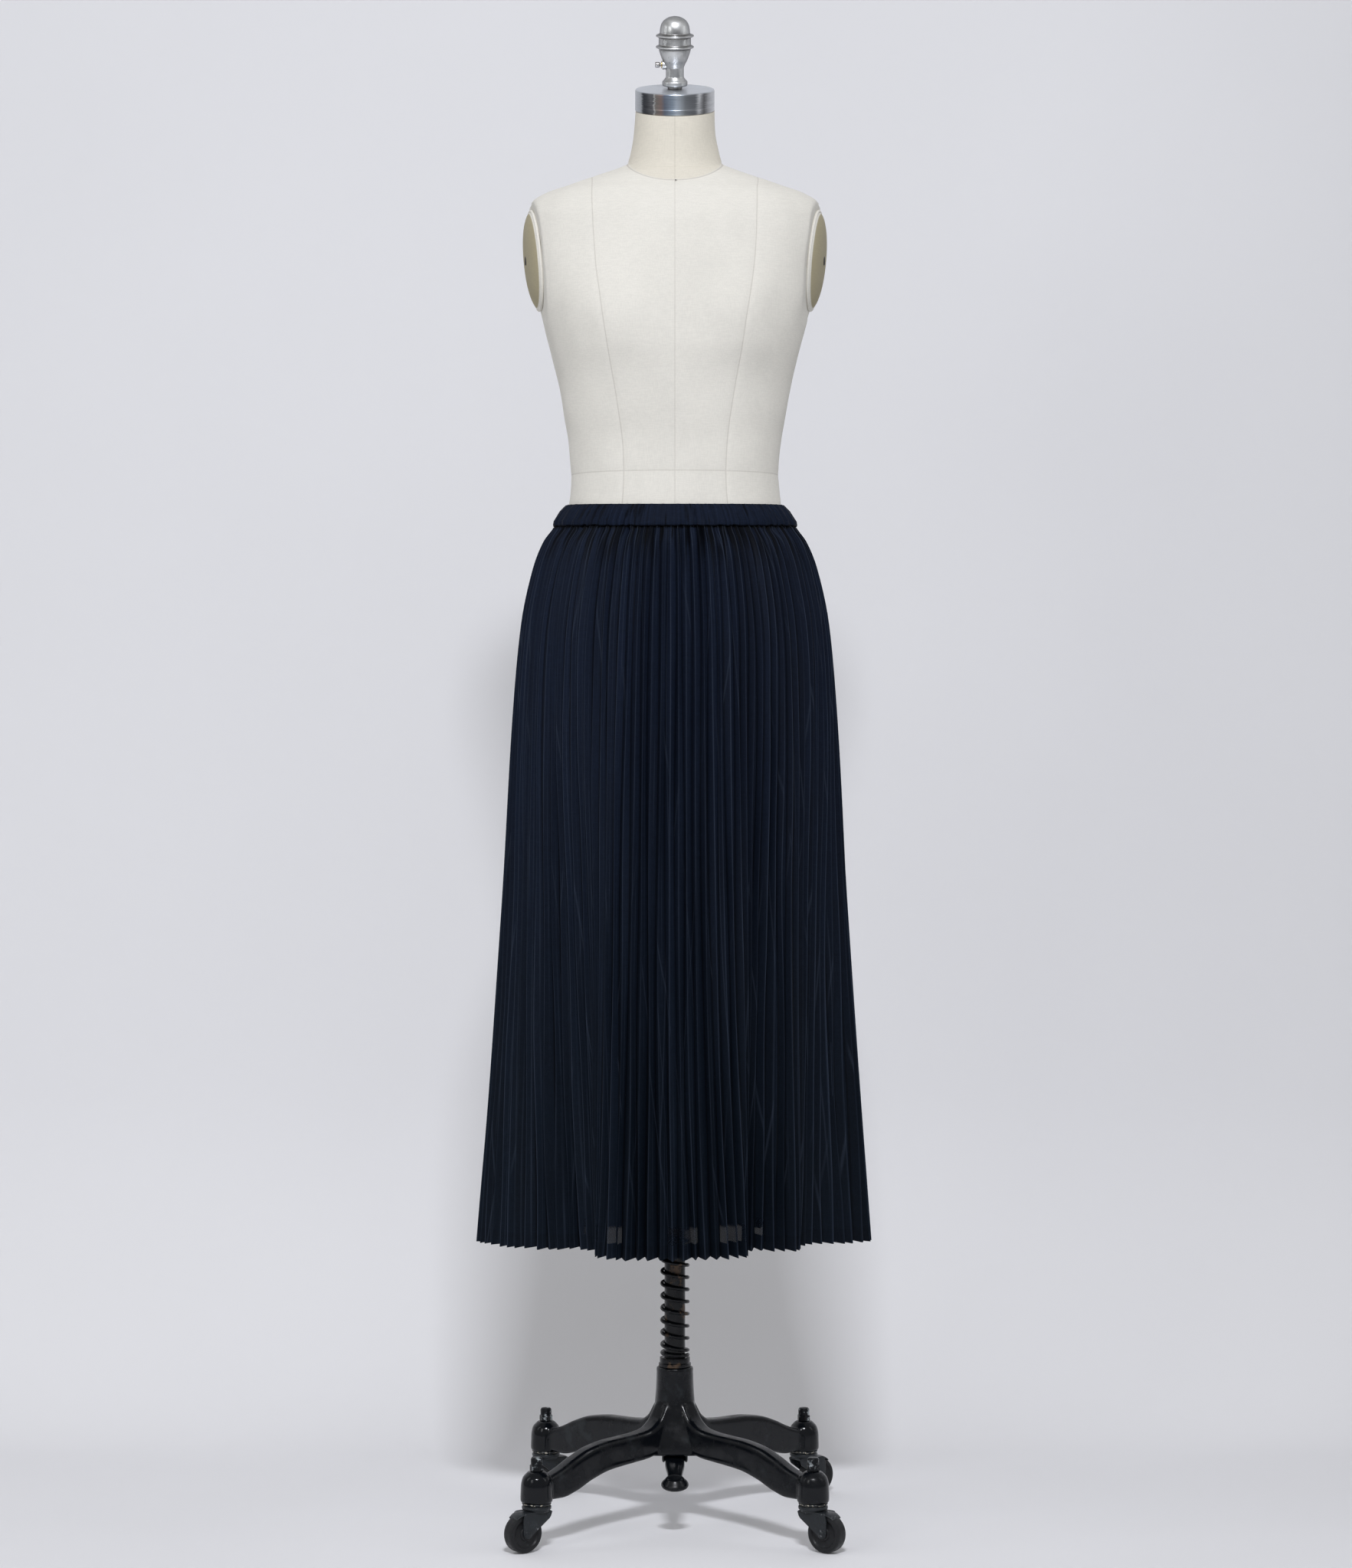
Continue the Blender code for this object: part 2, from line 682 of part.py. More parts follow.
def stand_casting(stand):
    """The hub, four legs and four castor bells are one iron casting, bored for the post."""
    casting = add_object(
        "stand_casting", turned("hub", HUB_PROFILE, 20, closed=True), "black_iron", stand, 40.0
    )
    for name, side_x, side_y, _ in CASTORS:
        leg = add_object(f"leg_{name}", leg_mesh(name, side_x, side_y), "black_iron", stand)
        combine(casting, leg, "UNION")
        bell = add_object(
            f"bell_{name}", turned("bell", BELL_PROFILE, 16, np.pi / 16), "black_iron", stand
        )
        bell.location = (side_x * CASTOR_SPREAD, side_y * CASTOR_SPREAD, 0)
        combine(casting, bell, "UNION")
    for side in (-1, 1):
        lug = add_object(f"lug_{side}", lug_mesh(side), "black_iron", stand)
        combine(casting, lug, "UNION")
    low, high = HUB_BOTTOM - 0.02, HUB_TOP + 0.02
    bore = ((0, low), (HUB_BORE, low), (HUB_BORE, high), (0, high))
    drill = add_object("hub_drill", turned("hub_drill", bore, 20), "black_iron", stand)
    combine(casting, drill, "DIFFERENCE")
    pin_hole = ((0, -0.03), (0.0031, -0.03), (0.0031, 0.03), (0, 0.03))
    pin_drill = add_object("pin_drill", turned("pin_drill", pin_hole, 12), "black_iron", stand)
    pin_drill.location = PEDAL_AXIS
    pin_drill.rotation_euler = (0, np.pi / 2, 0)
    combine(casting, pin_drill, "DIFFERENCE")
    for name, side_x, side_y, _ in CASTORS:
        low, high = BELL_TOP + GAP, BELL_TOP + GAP + NUT_HEIGHT
        nut = (
            (0, low),
            (NUT_RADIUS, low),
            (NUT_RADIUS, high - 0.0025),
            (NUT_RADIUS - 0.0020, high),
            (0, high),
        )
        made = add_object(
            f"castor_nut_{name}", turned("nut", nut, 6, 0.3), "black_steel", stand, 25.0
        )
        made.location = (side_x * CASTOR_SPREAD, side_y * CASTOR_SPREAD, 0)


def lug_mesh(side):
    """One ear under the hub that holds an end of the pedal's pin."""
    inner = PEDAL_REAR_HALF_WIDTH + GAP
    xs = (side * inner, side * (inner + LUG_THICKNESS))
    _, y, z = PEDAL_AXIS
    ring = (
        (y - 0.0062, HUB_BOTTOM + 0.004),
        (y - 0.0050, z - LUG_DROP / 2 + 0.0015),
        (y, z - LUG_DROP / 2),
        (y + 0.0050, z - LUG_DROP / 2 + 0.0015),
        (y + 0.0062, HUB_BOTTOM + 0.004),
    )
    return lofted("lug", [[(x, *point) for point in ring] for x in xs])


def pedal(stand):
    """A short lever: a knuckle on a pin between two lugs, an arm, and a round pad."""
    hinge = new_empty("pedal_hinge", PEDAL_AXIS, parent=stand)
    half = PEDAL_REAR_HALF_WIDTH - GAP
    knuckle = (
        (0, -half - LUG_THICKNESS),
        (0.0027, -half - LUG_THICKNESS),
        (0.0027, -half),
        (PEDAL_KNUCKLE_RADIUS, -half),
        (PEDAL_KNUCKLE_RADIUS, half),
        (0.0027, half),
        (0.0027, half + LUG_THICKNESS),
        (0, half + LUG_THICKNESS),
    )
    made = add_object("pedal", turned("pedal", knuckle, 12), "black_iron", hinge, 30.0)
    made.rotation_euler = (0, np.pi / 2, 0)
    pad_y = PEDAL_PAD_Y
    loops = []
    for share in (0.0, 0.5, 1.0):
        y = pad_y * share
        z = -PEDAL_PAD_DROP * share
        width = PEDAL_REAR_HALF_WIDTH - GAP - 0.002 * share
        width += (PEDAL_FRONT_HALF_WIDTH - PEDAL_REAR_HALF_WIDTH) * share
        thick = PEDAL_THICKNESS / 2
        low, high = z - thick, z + thick
        loops.append([(-width, y, low), (width, y, low), (width, y, high), (-width, y, high)])
    arm = add_object("pedal_arm", lofted("pedal_arm", loops), "black_iron", hinge)
    combine(made, arm, "UNION")
    pad_profile = (
        (0, -0.0060),
        (PEDAL_PAD_RADIUS - 0.0030, -0.0060),
        (PEDAL_PAD_RADIUS, -0.0020),
        (PEDAL_PAD_RADIUS - 0.0012, 0.0020),
        (PEDAL_PAD_RADIUS - 0.0060, 0.0056),
        (0, 0.0056),
    )
    pad = add_object("pedal_pad", turned("pedal_pad", pad_profile, 16), "black_iron", hinge)
    pad.location = (0, pad_y, -PEDAL_PAD_DROP)
    combine(made, pad, "UNION")


# Castors, drawn with the trail along +X and then turned to each corner


def fork_tools(holder):
    """The solids that a fork is joined from: two cheeks, a crown over the wheel and the axle."""
    axle_z = WHEEL_RADIUS
    cheek_outline = (
        (-0.0135, 0.0430),
        (-0.0115, 0.0360),
        (CASTOR_TRAIL - 0.0048, axle_z - 0.0020),
        (CASTOR_TRAIL, axle_z - 0.0050),
        (CASTOR_TRAIL + 0.0048, axle_z - 0.0020),
        (CASTOR_TRAIL + 0.0052, 0.0360),
        (CASTOR_TRAIL + 0.0030, 0.0430),
    )
    made = []
    for side in (-1, 1):
        ys = (side * FORK_INSIDE, side * (FORK_INSIDE + FORK_PLATE))
        loops = [[(x, y, z) for x, z in cheek_outline] for y in ys]
        made.append(add_object(f"cheek_{side}", lofted("cheek", loops), "black_iron", holder))
    crown_loops = []
    for x, top in CROWN:
        half = (FORK_INSIDE + FORK_PLATE) * (1.0 if x < 0.0250 else 0.85)
        low = top - CROWN_THICKNESS
        crown_loops.append([(x, -half, low), (x, half, low), (x, half, top), (x, -half, top)])
    made.append(add_object("crown", lofted("crown", crown_loops), "black_iron", holder))
    reach = FORK_INSIDE + FORK_PLATE + 0.0016
    axle = (
        (0, -reach),
        (AXLE_HEAD_RADIUS, -reach),
        (AXLE_HEAD_RADIUS, -FORK_INSIDE - 0.0010),
        (AXLE_RADIUS, -FORK_INSIDE - 0.0010),
        (AXLE_RADIUS, FORK_INSIDE + 0.0010),
        (AXLE_HEAD_RADIUS, FORK_INSIDE + 0.0010),
        (AXLE_HEAD_RADIUS, reach),
        (0, reach),
    )
    pin = add_object("axle", turned("axle", axle, 10), "black_iron", holder)
    pin.location = (CASTOR_TRAIL, 0, axle_z)
    pin.rotation_euler = (np.pi / 2, 0, 0)
    made.append(pin)
    return made


def wheel_mesh():
    """A solid wheel with a bore, a hub boss and rounded shoulders, one flat of it on the floor."""
    side = (
        (WHEEL_BORE, WHEEL_HALF_WIDTH - 0.0004),
        (0.0075, WHEEL_HALF_WIDTH - 0.0004),
        (0.0155, WHEEL_HALF_WIDTH - 0.0004),
        (WHEEL_RADIUS, WHEEL_HALF_WIDTH - 0.0022),
    )
    profile = [(r, -y) for r, y in side] + [(r, y) for r, y in side[::-1]]
    corner = 1 / np.cos(np.pi / WHEEL_SIDES)
    profile = [(r * corner, y) if r == WHEEL_RADIUS else (r, y) for r, y in profile]
    return turned("castor_wheel", profile, WHEEL_SIDES, np.pi / WHEEL_SIDES, closed=True)


def castors(stand):
    wheel = wheel_mesh()
    for name, side_x, side_y, trail_x in CASTORS:
        turn = np.arctan2(side_y * TRAIL_LENGTHWAYS, trail_x * TRAIL_SIDEWAYS)
        place = (side_x * CASTOR_SPREAD, side_y * CASTOR_SPREAD, 0)
        swivel = new_empty(f"swivel_{name}", place, turn, stand)
        fork = add_object(
            f"castor_fork_{name}", turned("race", RACE_PROFILE, 16), "black_iron", swivel, 35.0
        )
        for tool in fork_tools(swivel):
            combine(fork, tool, "UNION")
        made = add_object(f"castor_wheel_{name}", wheel.copy(), "black_rubber", swivel, 35.0)
        made.location = (CASTOR_TRAIL, 0, WHEEL_RADIUS)
        made.rotation_euler = (np.pi / 2, 0, 0)


def main():
    clear_scene()
    stand = new_empty("stand")
    form = new_empty("form_height")
    skirt_panel("skirt_front", 0.0, form)
    skirt_panel("skirt_back", np.pi, form)
    waistband(form)
    torso(form)
    arm_plate("arm_plate_left", -1, form)
    arm_plate("arm_plate_right", 1, form)
    neck_fittings(form)
    post_fittings(form, stand)
    stand_casting(stand)
    pedal(stand)
    castors(stand)


main()
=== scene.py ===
"""Looks of a pleated skirt with a gathered waistband, on its dress form and castor stand.

Metres, +Z up, -Y to the front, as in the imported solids. Every new piece is a skin over a grid of
points worked out with numpy, and rides on the body that carries it.
"""

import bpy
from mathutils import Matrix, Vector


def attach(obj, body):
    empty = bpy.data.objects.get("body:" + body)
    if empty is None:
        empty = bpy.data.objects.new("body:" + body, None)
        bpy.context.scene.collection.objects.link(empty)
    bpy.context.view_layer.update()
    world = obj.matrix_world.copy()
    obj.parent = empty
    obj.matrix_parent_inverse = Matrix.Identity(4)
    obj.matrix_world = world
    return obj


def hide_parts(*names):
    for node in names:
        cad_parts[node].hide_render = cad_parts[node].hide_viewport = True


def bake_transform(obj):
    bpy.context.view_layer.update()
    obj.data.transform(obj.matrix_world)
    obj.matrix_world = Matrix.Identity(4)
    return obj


bl_info = {
    "name": "Pleated Skirt on Dress Form",
    "version": (1, 0, 0),
    "blender": (4, 5, 0),
    "location": "View3D > Sidebar > Skirt",
    "description": "Builds the pleated cloth, the dress form, the castor stand and a plain studio",
    "category": "Object",
}

import bpy
import numpy as np

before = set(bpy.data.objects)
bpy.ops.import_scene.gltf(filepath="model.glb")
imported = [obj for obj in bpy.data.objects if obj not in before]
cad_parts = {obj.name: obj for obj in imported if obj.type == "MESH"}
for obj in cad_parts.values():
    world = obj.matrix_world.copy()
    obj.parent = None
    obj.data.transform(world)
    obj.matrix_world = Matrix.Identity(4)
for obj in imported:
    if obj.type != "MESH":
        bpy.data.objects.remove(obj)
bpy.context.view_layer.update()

TAU = 2 * np.pi
GAP = 0.0003

# Skirt panels: the solids' own levels, pleats and hem folds
PLEATS = 52
PLEAT_SKEW = 0.58
SEAM_GAP = 0.0004
CLOTH_WALL = 0.0005
SEAM_HEIGHT = 1.1017
HEM_HEIGHT = 0.3110
HEM_TURN_UP = 0.0160
# height, half width, front, back, pleat depth, share of the hem folds
SKIRT_LEVELS = (
    (SEAM_HEIGHT, 0.1352, 0.1095, 0.0990, 0.0040, 0.00),
    (1.0860, 0.1465, 0.1180, 0.1080, 0.0050, 0.00),
    (1.0550, 0.1585, 0.1260, 0.1190, 0.0060, 0.00),
    (0.9950, 0.1712, 0.1340, 0.1300, 0.0066, 0.00),
    (0.9000, 0.1800, 0.1400, 0.1370, 0.0075, 0.08),
    (0.6800, 0.1932, 0.1510, 0.1480, 0.0094, 0.42),
    (HEM_HEIGHT, 0.2215, 0.1680, 0.1680, 0.0135, 1.00),
)
# angle round the hem in degrees, reach
HEM_FOLDS = (
    (0, 1.00), (6, 0.96), (14, 0.74), (26, 0.69), (36, 0.76), (43, 0.83), (51, 0.66),
    (59, 0.67), (67, 0.90), (80, 0.96), (90, 1.00), (104, 1.02), (114, 0.93), (125, 0.67),
    (138, 0.65), (148, 0.83), (160, 0.91), (174, 0.98), (180, 1.00), (186, 0.97), (198, 0.74),
    (219, 0.93), (237, 0.70), (255, 0.98), (272, 1.01), (286, 0.96), (303, 0.70), (323, 0.92),
    (342, 0.73), (354, 0.97), (360, 1.00),
)
FOLD_SOFTENING = 3.2
# how far the front of the waist hangs below its sides, and how ragged the hem is
WAIST_DIP, HEM_TEETH = 0.0040, 0.0026
# dents of the gathers below the seam, and how steeply the cloth is tucked in above it
WAIST_DENTS, TUCK_SLOPE = 46, 1.6
# stray creases, drawn as pale lines of painted highlight: pleats' slant, drift a metre up, where their
# patches lie
STRAY_CREASES = ((0.43, 2.6, (7, 3, 0)), (0.37, -3.3, (2, 8, 0)), (0.71, -1.2, (5, 1, 0)))
PLEAT_PHASES = (0.0, 0.10, 0.22, 0.35, 0.48, 0.58, 0.68, 0.79, 0.90)

# Waistband casing, from the bottom seam up the outside, over and down the inside:
# height, half width, front, back, share of the puckers
BAND_SECTION = (
    (1.1022, 0.1338, 0.1081, 0.0976, 0.5),
    (1.1032, 0.1351, 0.1093, 0.0988, 0.7),
    (1.1060, 0.1356, 0.1097, 0.0992, 1.0),
    (1.1105, 0.1345, 0.1087, 0.0982, 1.0),
    (1.1150, 0.1318, 0.1064, 0.0957, 1.0),
    (1.1195, 0.1283, 0.1033, 0.0925, 1.0),
    (1.1232, 0.1246, 0.1002, 0.0893, 0.8),
    (1.1257, 0.1221, 0.0981, 0.0871, 0.5),
    (1.1269, 0.1205, 0.0967, 0.0857, 0.3),
    (1.1264, 0.1193, 0.0955, 0.0845, 0.1),
    (1.1240, 0.1190, 0.0951, 0.0841, 0.0),
    (1.1150, 0.1236, 0.0991, 0.0884, 0.0),
    (1.1026, 0.1302, 0.1046, 0.0941, 0.0),
)
GATHERS = 56

# Dress form: height, half width, front, back, squareness, tilt
FORM_BOTTOM = 0.8550
NECK_TOP = 1.5647
NECK_TILT = 17.0
FORM_LEVELS = (
    (FORM_BOTTOM, 0.1460, 0.1000, 0.1080, 2.00, 0.0),
    (0.8850, 0.1600, 0.1100, 0.1180, 2.00, 0.0),
    (0.9300, 0.1640, 0.1170, 0.1220, 2.00, 0.0),
    (0.9750, 0.1595, 0.1180, 0.1180, 2.00, 0.0),
    (1.0200, 0.1495, 0.1130, 0.1090, 2.00, 0.0),
    (1.0600, 0.1370, 0.1060, 0.0965, 2.00, 0.0),
    (1.1000, 0.1245, 0.0980, 0.0875, 2.00, 0.0),
    (1.1270, 0.1178, 0.0940, 0.0830, 2.00, 0.0),
    (1.1600, 0.1150, 0.0910, 0.0810, 2.10, 0.0),
    (1.1950, 0.1175, 0.0920, 0.0850, 2.20, 0.0),
    (1.2300, 0.1235, 0.0960, 0.0920, 2.25, 0.0),
    (1.2650, 0.1300, 0.1010, 0.1000, 2.25, 0.0),
    (1.3000, 0.1385, 0.1050, 0.1070, 2.25, 0.0),
    (1.3350, 0.1475, 0.1050, 0.1100, 2.25, 0.0),
    (1.3750, 0.1590, 0.1010, 0.1100, 2.25, 0.0),
    (1.4150, 0.1680, 0.0930, 0.1060, 2.25, 0.0),
    (1.4450, 0.1700, 0.0840, 0.0990, 2.20, 0.0),
    (1.4600, 0.1620, 0.0760, 0.0910, 2.15, 0.0),
    (1.4710, 0.1457, 0.0690, 0.0830, 2.10, 0.0),
    (1.4830, 0.1140, 0.0610, 0.0740, 2.05, 3.0),
    (1.4950, 0.0800, 0.0555, 0.0660, 2.00, 6.0),
    (1.5025, 0.0590, 0.0528, 0.0600, 2.00, 9.0),
    (1.5058, 0.0527, 0.0505, 0.0560, 2.00, 11.0),
    (1.5220, 0.0479, 0.0470, 0.0480, 2.00, NECK_TILT),
    (1.5410, 0.0450, 0.0450, 0.0450, 2.00, NECK_TILT),
    (NECK_TOP, 0.0437, 0.0437, 0.0437, 2.00, NECK_TILT),
)
BUST_HEIGHT, BUST_SPREAD, BUST_RADIUS, BUST_RISE = 1.3250, 0.0780, 0.0520, 0.0160
FORM_WAIST = 1.160
ARM_HEIGHT, ARM_X, ARM_SLOPE, ARM_TWIST = 1.3980, 0.1535, 0.0950, 0.1800
ARM_HALF_HEIGHT, ARM_HALF_WIDTH, ARM_DOME = 0.0540, 0.0400, 0.0120
# neck seam seen from the front: height of its ends, half width, drop in front and behind
NECKLINE_HEIGHT, NECKLINE_HALF, NECKLINE_DROP, NECKLINE_RISE = 1.5058, 0.0530, 0.0265, 0.0100
# height about which the levels of the body's grid are closest
NECK_CORNER = 1.503
EYELET_RADIUS = 0.0042
PIN_PLACE = (0.0010, -0.0622, 1.4790)
PIN_PROFILE = (
    (0.0003, -0.004), (0.0003, 0.0), (0.0009, 0.0001), (0.0012, 0.0005), (0.0009, 0.0010), (0.0003, 0.0011),
)
# Princess seams: height, distance from the middle
PRINCESS_SEAM = ((0.86, 0.080), (1.00, 0.074), (1.16, 0.056), (1.325, 0.078), (1.40, 0.088), (1.49, 0.092))

# Neck cap, finial and set screw
CAP_RADIUS, CAP_HEIGHT = 0.0440, 0.0236
# painted reflections of the room, as bright and dark bands down the cap's side: place across it, colour
CAP_REFLECTION_BANDS = (
    (0.00, (0.45, 0.47, 0.50)), (0.015, (0.42, 0.44, 0.46)), (0.03, (0.05, 0.055, 0.065)),
    (0.13, (0.15, 0.15, 0.16)), (0.148, (0.62, 0.62, 0.62)), (0.165, (0.30, 0.28, 0.26)),
    (0.25, (0.33, 0.25, 0.23)), (0.31, (0.19, 0.22, 0.28)), (0.45, (0.34, 0.41, 0.50)),
    (0.53, (0.55, 0.62, 0.70)), (0.60, (0.48, 0.53, 0.58)), (0.70, (0.28, 0.30, 0.32)),
    (0.85, (0.23, 0.24, 0.26)), (0.90, (0.52, 0.53, 0.55)), (0.95, (0.20, 0.20, 0.21)),
    (1.00, (0.60, 0.61, 0.63)),
)
# painted shade round the finial, in the grooves beside its ridges and at its foot: height, width, depth of
# tone
FINIAL_GROOVE_SHADE = (
    (0.0436, 0.0012, 0.6), (0.0484, 0.0012, 0.6), (0.0562, 0.0012, 0.6), (0.0607, 0.0014, 0.65),
    (0.0005, 0.0045, 0.8),
)
FINIAL_PROFILE = (
    (0.0080, 0.0000), (0.0082, 0.0026), (0.0131, 0.0034), (0.0140, 0.0050), (0.0140, 0.0076),
    (0.0116, 0.0106), (0.0099, 0.0140), (0.0099, 0.0225), (0.0113, 0.0268), (0.0136, 0.0312),
    (0.0156, 0.0362), (0.0172, 0.0412), (0.0178, 0.0438), (0.0190, 0.0446), (0.0207, 0.0454),
    (0.0210, 0.0462), (0.0205, 0.0470), (0.0184, 0.0480), (0.0178, 0.0490), (0.0178, 0.0556),
    (0.0186, 0.0566), (0.0206, 0.0576), (0.0210, 0.0584), (0.0204, 0.0592), (0.0180, 0.0602),
    (0.0168, 0.0612), (0.0166, 0.0640), (0.0157, 0.0690), (0.0136, 0.0735), (0.0100, 0.0768),
    (0.0055, 0.0789), (0.0020, 0.0796),
)
SCREW_HEIGHT = 0.0265
# the screw's boss, shank and washer: profile, rounding, steps, sides, closed ring
SCREW_PARTS = (
    (((0.0010, 0.0040), (0.0052, 0.0040), (0.0052, 0.0138), (0.0010, 0.0138)), 0.0006, 4, 32, False),
    (((0.0005, 0.0139), (0.0018, 0.0139), (0.0018, 0.0168), (0.0026, 0.0168), (0.0031, 0.0174),
      (0.0031, 0.0212), (0.0027, 0.0218), (0.0005, 0.0218)), 0.0003, 2, 24, False),
    (((0.0020, 0.0141), (0.0040, 0.0141), (0.0040, 0.0150), (0.0020, 0.0150)), 0.0002, 2, 28, True),
)

# Post, spring and collars
POST_RADIUS, POST_BOTTOM = 0.0115, 0.0950
FLANGE_RADIUS, FLANGE_HEIGHT = 0.0450, 0.0060
STOP_HEIGHT, STOP_THICKNESS = 0.3810, 0.0120
SPRING_WIRE, SPRING_RADIUS, SPRING_TURNS = 0.0042, 0.0143, 15.62
HUB_TOP, HUB_BORE = 0.1720, 0.0120
COLLAR_HEIGHT, COLLAR_RADIUS = 0.0100, 0.0167
# outer steps of the two collars, from the bottom up: past the collar's radius, height
STOP_STEPS = ((0.0, 0.0), (0.0, 0.0030), (-0.0012, 0.0036), (-0.0012, STOP_THICKNESS))
SEAT_STEPS = ((0.0012, 0.0), (0.0012, 0.0035), (-0.0002, 0.0046), (0.0, 0.0060), (0.0, COLLAR_HEIGHT))
HUB_PROFILE = (
    (0.0060, 0.1720), (0.0190, 0.1720), (0.0200, 0.1714), (0.0205, 0.1700), (0.0203, 0.1660),
    (0.0206, 0.1560), (0.0209, 0.1480), (0.0224, 0.1300), (0.0250, 0.1140), (0.0275, 0.1020),
    (0.0290, 0.0880), (0.0275, 0.0810), (0.0060, 0.0810),
)
CASTOR_SPREAD = 0.1480
# reach, top, bottom, half thickness
LEG_STATIONS = (
    (0.0145, 0.1440, 0.0830, 0.0100), (0.0240, 0.1290, 0.0828, 0.0118),
    (0.0330, 0.1160, 0.0815, 0.0118), (0.0480, 0.1080, 0.0770, 0.0108),
    (0.0700, 0.1055, 0.0750, 0.0096), (0.1050, 0.1040, 0.0720, 0.0092),
    (0.1330, 0.1000, 0.0650, 0.0090), (0.1570, 0.0920, 0.0560, 0.0090),
    (0.1760, 0.0835, 0.0520, 0.0090), (0.1980, 0.0760, 0.0525, 0.0085),
)
# web between the front legs: height and place of its face, height and half width
WEB_FRONT = ((0.0786, -0.0345), (0.0880, -0.0338), (0.1000, -0.0312), (0.1150, -0.0268), (0.1320, -0.0218))
WEB_HALF = ((0.0786, 0.0325), (0.0900, 0.0300), (0.1050, 0.0225), (0.1320, 0.0130))
BELL_PROFILE = (
    (0.0020, 0.0516), (0.0163, 0.0516), (0.0172, 0.0532), (0.0174, 0.0560), (0.0172, 0.0640),
    (0.0169, 0.0700), (0.0160, 0.0750), (0.0148, 0.0785), (0.0115, 0.0822), (0.0085, 0.0846),
    (0.0020, 0.0846),
)
NUT_RADIUS, NUT_LOW, NUT_HEIGHT = 0.0074, 0.0849, 0.0145

# Castors, drawn with the trail along +X
WHEEL_RADIUS, CASTOR_TRAIL = 0.0205, 0.0178
FORK_INSIDE, FORK_PLATE = 0.0086, 0.0022
# foot of a fork's cheek and the way back up, from the axle: ahead, up
CHEEK_FOOT = (
    (-0.0056, -0.0012), (-0.0030, -0.0044), (0.0030, -0.0044), (0.0056, -0.0012), (0.0062, 0.0145),
    (0.0040, 0.0227),
)
CROWN_LINE = (
    (-0.0130, 0.0428), (0.0120, 0.0431), (0.0200, 0.0430), (0.0250, 0.0419), (0.0285, 0.0400),
    (0.0300, 0.0388),
)
RACE_PROFILE = (
    (0.0020, 0.0420), (0.0138, 0.0420), (0.0141, 0.0428), (0.0141, 0.0440), (0.0154, 0.0444),
    (0.0159, 0.0452), (0.0159, 0.0472), (0.0152, 0.0480), (0.0138, 0.0483), (0.0140, 0.0489),
    (0.0156, 0.0496), (0.0159, 0.0505), (0.0156, 0.0513), (0.0020, 0.0513),
)
WHEEL_PROFILE = (
    (0.0034, 0.0076), (0.0066, 0.0076), (0.0073, 0.0071), (0.0077, 0.0061), (0.0086, 0.0057),
    (0.0138, 0.0057), (0.0146, 0.0061), (0.0151, 0.0072), (0.0159, 0.0077), (0.0180, 0.0077),
    (0.0196, 0.0071), (0.0203, 0.0058), (0.0205, 0.0040), (0.0205, 0.0014),
)
# name, side across, side along, the way the wheel trails across
CASTORS = (
    ("front_left", -1, -1, -1), ("front_right", 1, -1, 1), ("back_left", -1, 1, 1), ("back_right", 1, 1, 1),
)
TRAIL_SIDEWAYS, TRAIL_LENGTHWAYS = 0.80, 0.60

# Pedal
PEDAL_AXIS = (0.0, -0.0215, 0.0740)
PEDAL_PAD_Y, PEDAL_PAD_DROP, PAD_TILT = -0.0585, 0.0150, 12
PAD_PROFILE = (
    (0.0020, -0.0060), (0.0112, -0.0060), (0.0138, -0.0052), (0.0151, -0.0034), (0.0151, -0.0016),
    (0.0138, 0.0004), (0.0112, 0.0030), (0.0094, 0.0052), (0.0080, 0.0056), (0.0020, 0.0056),
)

# Studio: the camera's distance and height at the post, and the photograph's lens
CAMERA_DISTANCE, CAMERA_HEIGHT = 4.22, 0.884
IMAGE_HEIGHT, FOCAL_PIXELS, HORIZON_ROW, CENTRE_COLUMN = 2047, 4966.0, 945.6, 881.0
IMAGE_WIDTH = 1765
# lights: name, place, aim, size, share of the key's power, colour
LAMPS = (
    ("key", (0.10, -3.7, 3.75), (0, 0, 0.40), (0.75, 0.40), 1.0, (0.93, 0.945, 1.0)),
    ("left_fill", (-2.3, -3.0, 1.9), (0, 0, 0.9), (0.9, 1.4), 0.10, (0.98, 0.99, 1.0)),
    ("left_strip", (-2.4, -0.6, 1.8), (0, 0, 1.2), (0.25, 1.8), 0.035, (0.96, 0.98, 1.0)),
    ("right_strip", (2.4, -0.6, 1.8), (0, 0, 1.2), (0.25, 1.8), 0.035, (0.96, 0.98, 1.0)),
)


# Settings a user would change


class ClothSettings(bpy.types.PropertyGroup):
    """Cloth of the skirt and its waistband."""

    navy: bpy.props.FloatVectorProperty(
        name="Cloth", description="Colour of the cloth", subtype="COLOR", size=3,
        min=0, max=1, default=(0.0066, 0.0106, 0.0225),
    )
    navy_low: bpy.props.FloatVectorProperty(
        name="Cloth at the hem", description="Colour of the cloth near its hem", subtype="COLOR",
        size=3, min=0, max=1, default=(0.0042, 0.0074, 0.0132),
    )
    # painted highlight colour of the pleat crests, partly the pressed cloth's own shine
    crease: bpy.props.FloatVectorProperty(
        name="Pressed crease", description="Colour along the pressed pleat edges", subtype="COLOR",
        size=3, min=0, max=1, default=(0.034, 0.045, 0.068),
    )
    depth: bpy.props.FloatProperty(
        name="Pleat depth", description="Share of the solids' pleat depth", subtype="FACTOR",
        min=0.2, max=1, default=0.80,
    )
    wander: bpy.props.FloatProperty(
        name="Pleat wander", description="How far a pleat strays sideways, in pleats",
        min=0, max=0.3, default=0.15,
    )
    sheer: bpy.props.FloatProperty(
        name="Sheerness", description="How much shows through one wall above the hem",
        subtype="FACTOR", min=0, max=0.6, default=0.24,
    )


